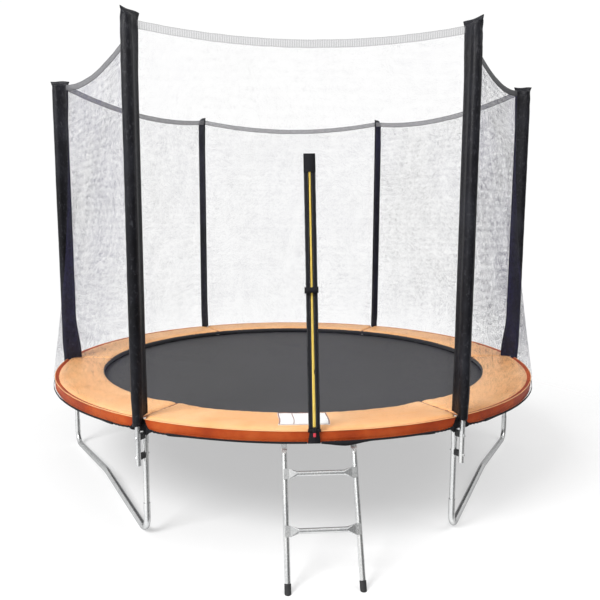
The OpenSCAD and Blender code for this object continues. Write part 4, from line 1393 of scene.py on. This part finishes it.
def cover_piping():
    """Piping along the top outer edge, and a line of stitches low on the skirt."""
    piping, stitches = Shape(), Shape()
    margin = degrees(0.034 / COVER_OUT)
    for k in range(6):
        path = []
        for j in range(141):
            a = 60 * k + margin + (60 - 2 * margin) * j / 140
            radius = COVER_OUT + 0.0004 + 0.0007 * wobble(a * 0.3, 1.0, 2.0)
            z = 0.6005 + 0.0009 * wobble(a * 0.25, 5.0, 1.0)
            path.append(polar(radius, radians(a), level(z)))
        piping.tube(path, radius=0.0024, sides=8)
        a = 60 * k + margin + 1.15
        while a < 60 * k + 60 - margin - 1.15:
            stitches.tube([polar(COVER_OUT + 0.0022 + rise, radians(a + 0.075 * q), level(0.5555))
                           for q, rise in enumerate((0, 0.0005, 0))], radius=0.0004, sides=4)
            a += 0.23
    piping.finish("pad_piping", ORANGE_LIT, "orange_pvc")
    stitches.finish("pad_stitches", THREAD_ORANGE, "orange_pvc")


# ------------------------------------------------------------------ patch on the cover
# A blank cloth patch on the cover, on the inner side of the door.
PATCH_X, PATCH_WIDTH = -0.112, 0.236  # least x
PATCH_Y, PATCH_DEPTH = -1.293, 0.180  # greatest y
LINE_X = (-0.108, 0.120)  # its printed border
LINE_Y = (-1.2985, -1.4675)
# lines: start, end, half width
PATCH_LINES = [
    ((LINE_X[0], LINE_Y[0]), (LINE_X[1], LINE_Y[0]), 0.0022),
    ((LINE_X[0], LINE_Y[1]), (LINE_X[1], LINE_Y[1]), 0.0013),
    ((LINE_X[0], LINE_Y[0]), (LINE_X[0], LINE_Y[1]), 0.0022),
    ((LINE_X[1], LINE_Y[0]), (LINE_X[1], LINE_Y[1]), 0.0022),
    ((-0.042, LINE_Y[0]), (-0.042, LINE_Y[1]), 0.0016),
]


def patch_warp(x, y):
    """The patch's edges are slightly curved."""
    return x + 0.004 * sin(y * 30), y - 0.0022 * sin((x - PATCH_X) / PATCH_WIDTH * pi)


def patch_cloth():
    rows = []
    for j in range(49):
        x = PATCH_X + PATCH_WIDTH * j / 48
        top, under = [], []
        for q in range(25):
            y = PATCH_Y - PATCH_DEPTH * q / 24
            rim = min(1, min(j, 48 - j) / 2.0, min(q, 24 - q) / 2.0)
            z = cover_z(x, y, 0.0013) - 0.0008 * (1 - rim)
            top.append((*patch_warp(x, y), z))
            under.append((*patch_warp(x, y), z - 0.0016))
        rows.append(top + under[::-1])
    shape = Shape()
    shape.slab(rows)
    shape.finish("cover_patch", WHITE_PATCH, "orange_pvc")


def patch_border():
    """A plain border and one divider."""
    shape = Shape()
    for (x0, y0), (x1, y1), half in PATCH_LINES:
        side = Vector((0, half, 0)) if y0 == y1 else Vector((half, 0, 0))
        rows = []
        for q in range(25):
            x, y = x0 + (x1 - x0) * q / 24, y0 + (y1 - y0) * q / 24
            centre = Vector((*patch_warp(x, y), cover_z(x, y, 0.0017)))
            rows.append((centre - side, centre + side, (0, 0, 1)))
        shape.ribbon(rows, 0.0004)
    shape.finish("cover_patch_border", PATCH_LINE, "orange_pvc")


def patch_stitches():
    shape = Shape()
    along_x = [(LINE_X[0] + 0.228 * j / 61, y) for j in range(62) for y in (-1.297, -1.469)]
    along_y = [(x, -1.2975 - 0.171 * j / 45) for j in range(46) for x in LINE_X]
    for places, step in ((along_x, Vector((0.0022, 0, 0))), (along_y, Vector((0, -0.0022, 0)))):
        for x, y in places:
            start = Vector((x, y, cover_z(x, y, 0.0016)))
            shape.stitch(start, step, up(0.0005), radius=0.0003)
    shape.finish("cover_patch_stitches", THREAD_GREY, "orange_pvc")


# ------------------------------------------------------------------ jumping mat
MAT_RADIUS = 1.303
MAT_THICK = 0.0020


def mat_z(radius, angle):
    """Top of the sheet: a faint sag, and ripples near its edge."""
    z = -0.0026 * (1 - (radius / 1.30) ** 2) - 0.0002
    z += 0.0006 * wobble(radius * 2.2 * cos(angle), radius * 2.2 * sin(angle), 1.0)
    return z + 0.0007 * ease((radius - 1.08) / 0.2) * cos(60 * angle)


def mat_sheet():
    sides, rings = 240, 44
    angles = [2 * pi * j / sides for j in range(sides)]
    radii = [MAT_RADIUS * (1 - (1 - q / rings) ** 1.35) for q in range(1, rings + 1)]
    top = [[polar(radius, a, mat_z(radius, a)) for a in angles] for radius in radii]
    under = [[(x, y, z - MAT_THICK) for x, y, z in ring] for ring in top[::-1]]
    shape = Shape()
    shape.grid(top + under, close_across=True)
    # fans round the two centre points
    centre = len(shape.verts)
    shape.verts += [(0, 0, mat_z(0, 0)), (0, 0, mat_z(0, 0) - MAT_THICK)]
    shape.uvs += [(0, 0), (0, 0)]
    last = (2 * rings - 1) * sides
    for j in range(sides):
        following = (j + 1) % sides
        shape.faces.append((centre, following, j))
        shape.faces.append((centre + 1, last + j, last + following))
    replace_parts(shape.finish("mat_sheet", MAT, "mat_weave", "mat"), "jump_mat")


# section of the webbing folded over the mat's edge: radius, height over the sheet's top
EDGE_SECTION = [
    (1.2555, 0.0009), (1.268, 0.0011), (1.287, 0.0012), (1.3050, 0.0010),
    (1.3060, -0.0012), (1.3050, -0.0034), (1.268, -0.0033), (1.2555, -0.0030),
]


def mat_edge():
    sides = 360
    rows, uvs = [], []
    for j in range(sides):
        angle = 2 * pi * j / sides
        sway = 0.0006 * wobble(cos(angle) * 14, sin(angle) * 14, 2.0)
        rows.append([polar(radius + sway, angle, mat_z(min(radius, 1.30), angle) + z)
                     for radius, z in EDGE_SECTION])
        uvs.append([(angle * 1.29, radius) for radius, _ in EDGE_SECTION])
    shape = Shape()
    shape.grid(rows, close_along=True, close_across=True, uvs=uvs)
    thing = shape.finish("mat_edge_webbing", WEBBING, "black_webbing", "mat")
    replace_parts(thing, "mat_webbing")


def mat_stitches():
    """Four rows of stitches on the edge webbing."""
    count = 900
    shape = Shape()
    for radius in (1.259, 1.270, 1.290, 1.301):
        for j in range(count):
            a = 2 * pi * j / count
            z = mat_z(radius, a)
            shape.tube([polar(radius, a, z + 0.0010),
                        polar(radius, a + 0.0014, mat_z(radius, a) + 0.0016),
                        polar(radius, a + 0.0028, z + 0.0010)],
                       radius=0.00045, sides=3, caps=False)
    shape.finish("mat_stitches", THREAD_GREY, "black_webbing", "mat")


LOOP_TOP = [(1.262, 0.0022), (1.275, 0.0025), (1.292, 0.0026), (1.303, 0.0021)]  # radius, z
LOOP_UNDER = [(1.303, -0.0062), (1.292, -0.0058), (1.275, -0.0054), (1.262, -0.0050)]
BOX_RADII = (1.266, 1.298)  # the stitched box on each loop
BOX_HALF = 0.008
# its lines: the two cross lines, the diagonals, the two sides; radius index and side
BOX_LINES = [((0, -1), (0, 1)), ((1, -1), (1, 1)), ((0, -1), (1, 1)),
             ((0, 1), (1, -1)), ((0, -1), (1, -1)), ((0, 1), (1, 1))]


def loop_section():
    """Radius and z along a loop: over the mat, round the V-ring's rod and back under."""
    turns = [pi * (0.5 - q / 10) for q in range(11)]
    nose = [(1.3130 + 0.0052 * cos(t), level(RING_LEVEL) + 0.0042 * sin(t)) for t in turns]
    return LOOP_TOP + nose + LOOP_UNDER


def mat_loops():
    loops, stitches = Shape(), Shape()
    section = loop_section()
    for i in range(60):
        outward, around = axes(radians(6 * i))
        rows = []
        for j, (radius, z) in enumerate(section):
            r0, z0 = section[max(j - 1, 0)]
            r1, z1 = section[min(j + 1, len(section) - 1)]
            normal = outward * (z0 - z1) + up(r1 - r0)
            side = around * (0.0108 - 0.0006 * bell((radius - 1.313) / 0.006))
            centre = outward * radius + up(z)
            rows.append((centre - side, centre + side, normal))
        loops.ribbon(rows, 0.0013)
        for ends in BOX_LINES:
            (r0, y0), (r1, y1) = [(BOX_RADII[ring], side * BOX_HALF) for ring, side in ends]
            count = int(hypot(r1 - r0, y1 - y0) / 0.0036)
            start = outward * r0 + around * y0 + up(0.0031)
            run = outward * (r1 - r0) + around * (y1 - y0)
            for q in range(count):
                stitches.stitch(start + run * (q / count), run * (0.62 / count), up(0.0005),
                                radius=0.0004, sides=3, caps=False)
    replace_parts(loops.finish("mat_loops", WEBBING, "black_webbing", "mat"), "mat_tabs")
    stitches.finish("mat_loop_stitches", THREAD_GREY, "black_webbing", "mat")


# ------------------------------------------------------------------ springs
COIL_START, COIL_END = 1.3525, 1.4615
COIL_RADIUS = 0.0094
COIL_TURNS, COIL_STEPS = 30, 12
# hooks of the spring on +X: x, y, height from the ring's level
MAT_HOOK = [(1.3405, 0, -0.0055), (1.3382, 0, -0.0035), (1.3374, 0, 0.0005),
            (1.3395, 0, 0.0036), (1.3440, 0, 0.0042), (1.3490, 0.0010, 0.0044)]
FRAME_HOOK = [(1.4655, 0.0015, 0.0024), (1.472, 0.0, 0.0008), (1.480, 0, 0.0006),
              (1.4860, 0, -0.0006), (1.4876, 0, -0.0042), (1.4872, 0, -0.0088)]


def springs():
    total = COIL_TURNS * COIL_STEPS
    coil = []
    for q in range(total + 1):
        angle = 2 * pi * q / COIL_STEPS
        # narrower in the first and last turn
        grow = min(1.0, 0.45 + min(q, total - q) / COIL_STEPS * 0.55)
        coil.append((COIL_START + (COIL_END - COIL_START) * q / total,
                     COIL_RADIUS * grow * sin(angle), COIL_RADIUS * grow * cos(angle)))
    ring_z = level(RING_LEVEL)
    shape = Shape()
    path = [(x, y, z + ring_z) for x, y, z in MAT_HOOK + coil + FRAME_HOOK]
    shape.tube(path, radius=0.00155, sides=6)
    verts = np.array(shape.verts)
    for i in range(60):
        angle = radians(6 * i)
        thing = make_object(f"spring_{i + 1:02d}", turned(verts, angle), shape.faces)
        thing.data.materials.append(SPRING)
        polar(1.487, angle, ring_z)
        polar(1.3385, angle, ring_z)
        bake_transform(thing)
        if i == 0:
            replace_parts(thing, "springs")


# ------------------------------------------------------------------ studio
# A dark flag towards +X and -Y, seen only in reflections.
FLAG_X, FLAG_Y = 0.80, -0.60
FLAG_EDGES = (0.42, 0.80)  # cosines where it begins and where it is full


def make_world():
    world = bpy.data.worlds.new("studio")
    SCENE.world = world
    graph = Graph(world, "ShaderNodeOutputWorld")
    kind = "ShaderNodeBackground"
    white = (1.0, 1.0, 1.0)
    lighting = graph.value(kind, {0: white, 1: 0.62})
    backdrop = graph.value(kind, {0: white, 1: 1.02})
    glossy, camera = graph.outputs("ShaderNodeLightPath", "Is Glossy Ray", "Is Camera Ray")
    flag = graph.coord("Generated").dot((FLAG_X, FLAG_Y, 0.0))
    mirrored = graph.value(kind, {1: flag.remap(FLAG_EDGES, to=(0.90, 0.10))})
    surround = graph.mix_shader(glossy, lighting, mirrored)
    graph.finish(graph.mix_shader(camera, surround, backdrop))


def floor_material():
    """Half lit and half glowing, fading out far from the centre."""
    graph, place = new_material("floor")
    x, y, _ = place.split()
    radius = (x * x + y * y).math("SQRT")
    lit = graph.principled((0.93, 0.93, 0.93), 0.95, Specular_IOR_Level=0.0)
    glow = graph.value("ShaderNodeEmission", {1: 1.0})
    half = graph.mix_shader(0.46, lit, glow)
    # the same flag, as the floor is mirrored
    incoming, = graph.outputs("ShaderNodeNewGeometry", "Incoming")
    in_x, in_y, _ = incoming.split()
    glossy, = graph.outputs("ShaderNodeLightPath", "Is Glossy Ray")
    side = in_x * -FLAG_X + in_y * -FLAG_Y
    flag = side.remap(FLAG_EDGES, to=(0.0, 0.86)) * glossy
    dim = graph.value("ShaderNodeEmission", {0: (0.05, 0.05, 0.05)})
    flagged = graph.mix_shader(flag, half, dim)
    fade = radius.remap((1.9, 3.6))
    return graph.finish(graph.mix_shader(fade, flagged, graph.transparent()))


def make_floor():
    bpy.ops.mesh.primitive_plane_add(size=30, location=(0, 0, GROUND - 0.0005))
    floor = bpy.context.object
    floor.name = "floor"
    floor.data.materials.append(floor_material())


def soft_light(place, size, power):
    """A round area light aimed at the origin."""
    light = bpy.data.lights.new("soft", "AREA")
    light.shape = "DISK"
    light.size = size
    light.energy = power
    lamp = bpy.data.objects.new("soft", light)
    SCENE.collection.objects.link(lamp)
    lamp.location = place
    lamp.rotation_mode = "QUATERNION"
    lamp.rotation_quaternion = (-Vector(place)).to_track_quat("-Z", "Y")


def make_camera():
    data = bpy.data.cameras.new("camera")
    camera = bpy.data.objects.new("camera", data)
    SCENE.collection.objects.link(camera)
    data.sensor_width = 36
    data.lens = 36.5
    camera.location = (-0.117, -4.147, 0.9442)
    forward = Vector((0.0377, 0.9921, -0.1196)).normalized()
    roll = Matrix.Rotation(0.0042, 4, "Z").to_quaternion()
    camera.rotation_mode = "QUATERNION"
    camera.rotation_quaternion = forward.to_track_quat("-Z", "Y") @ roll
    SCENE.camera = camera


# ------------------------------------------------------------------ build
paint_cad()
for pole in range(1, 7):
    sleeve(pole)
    sleeve_stitches(pole)
for pole in range(1, 7):
    foam_tube(pole)
for piece in (net_panel, net_band, net_binding, net_corner):
    for i in range(6):
        piece(i)
for piece in (zip_tapes, zip_stitches, zip_strip, zip_teeth, zip_end, door_tab, door_foot_band,
              zip_pull, keeper_strap, cover_segments, cover_seams, cover_lining):
    piece()
for k in range(6):
    cover_skirt(k)
for piece in (cover_piping, patch_cloth, patch_border, patch_stitches, mat_sheet, mat_edge,
              mat_stitches, mat_loops, springs, make_world, make_floor):
    piece()
soft_light((-4.2, -5.0, 5.4), size=3.6, power=560)
soft_light((4.0, -2.0, 5.0), size=4.0, power=120)
make_camera()
SCENE.view_settings.view_transform = "Standard"
SCENE.view_settings.look = "None"
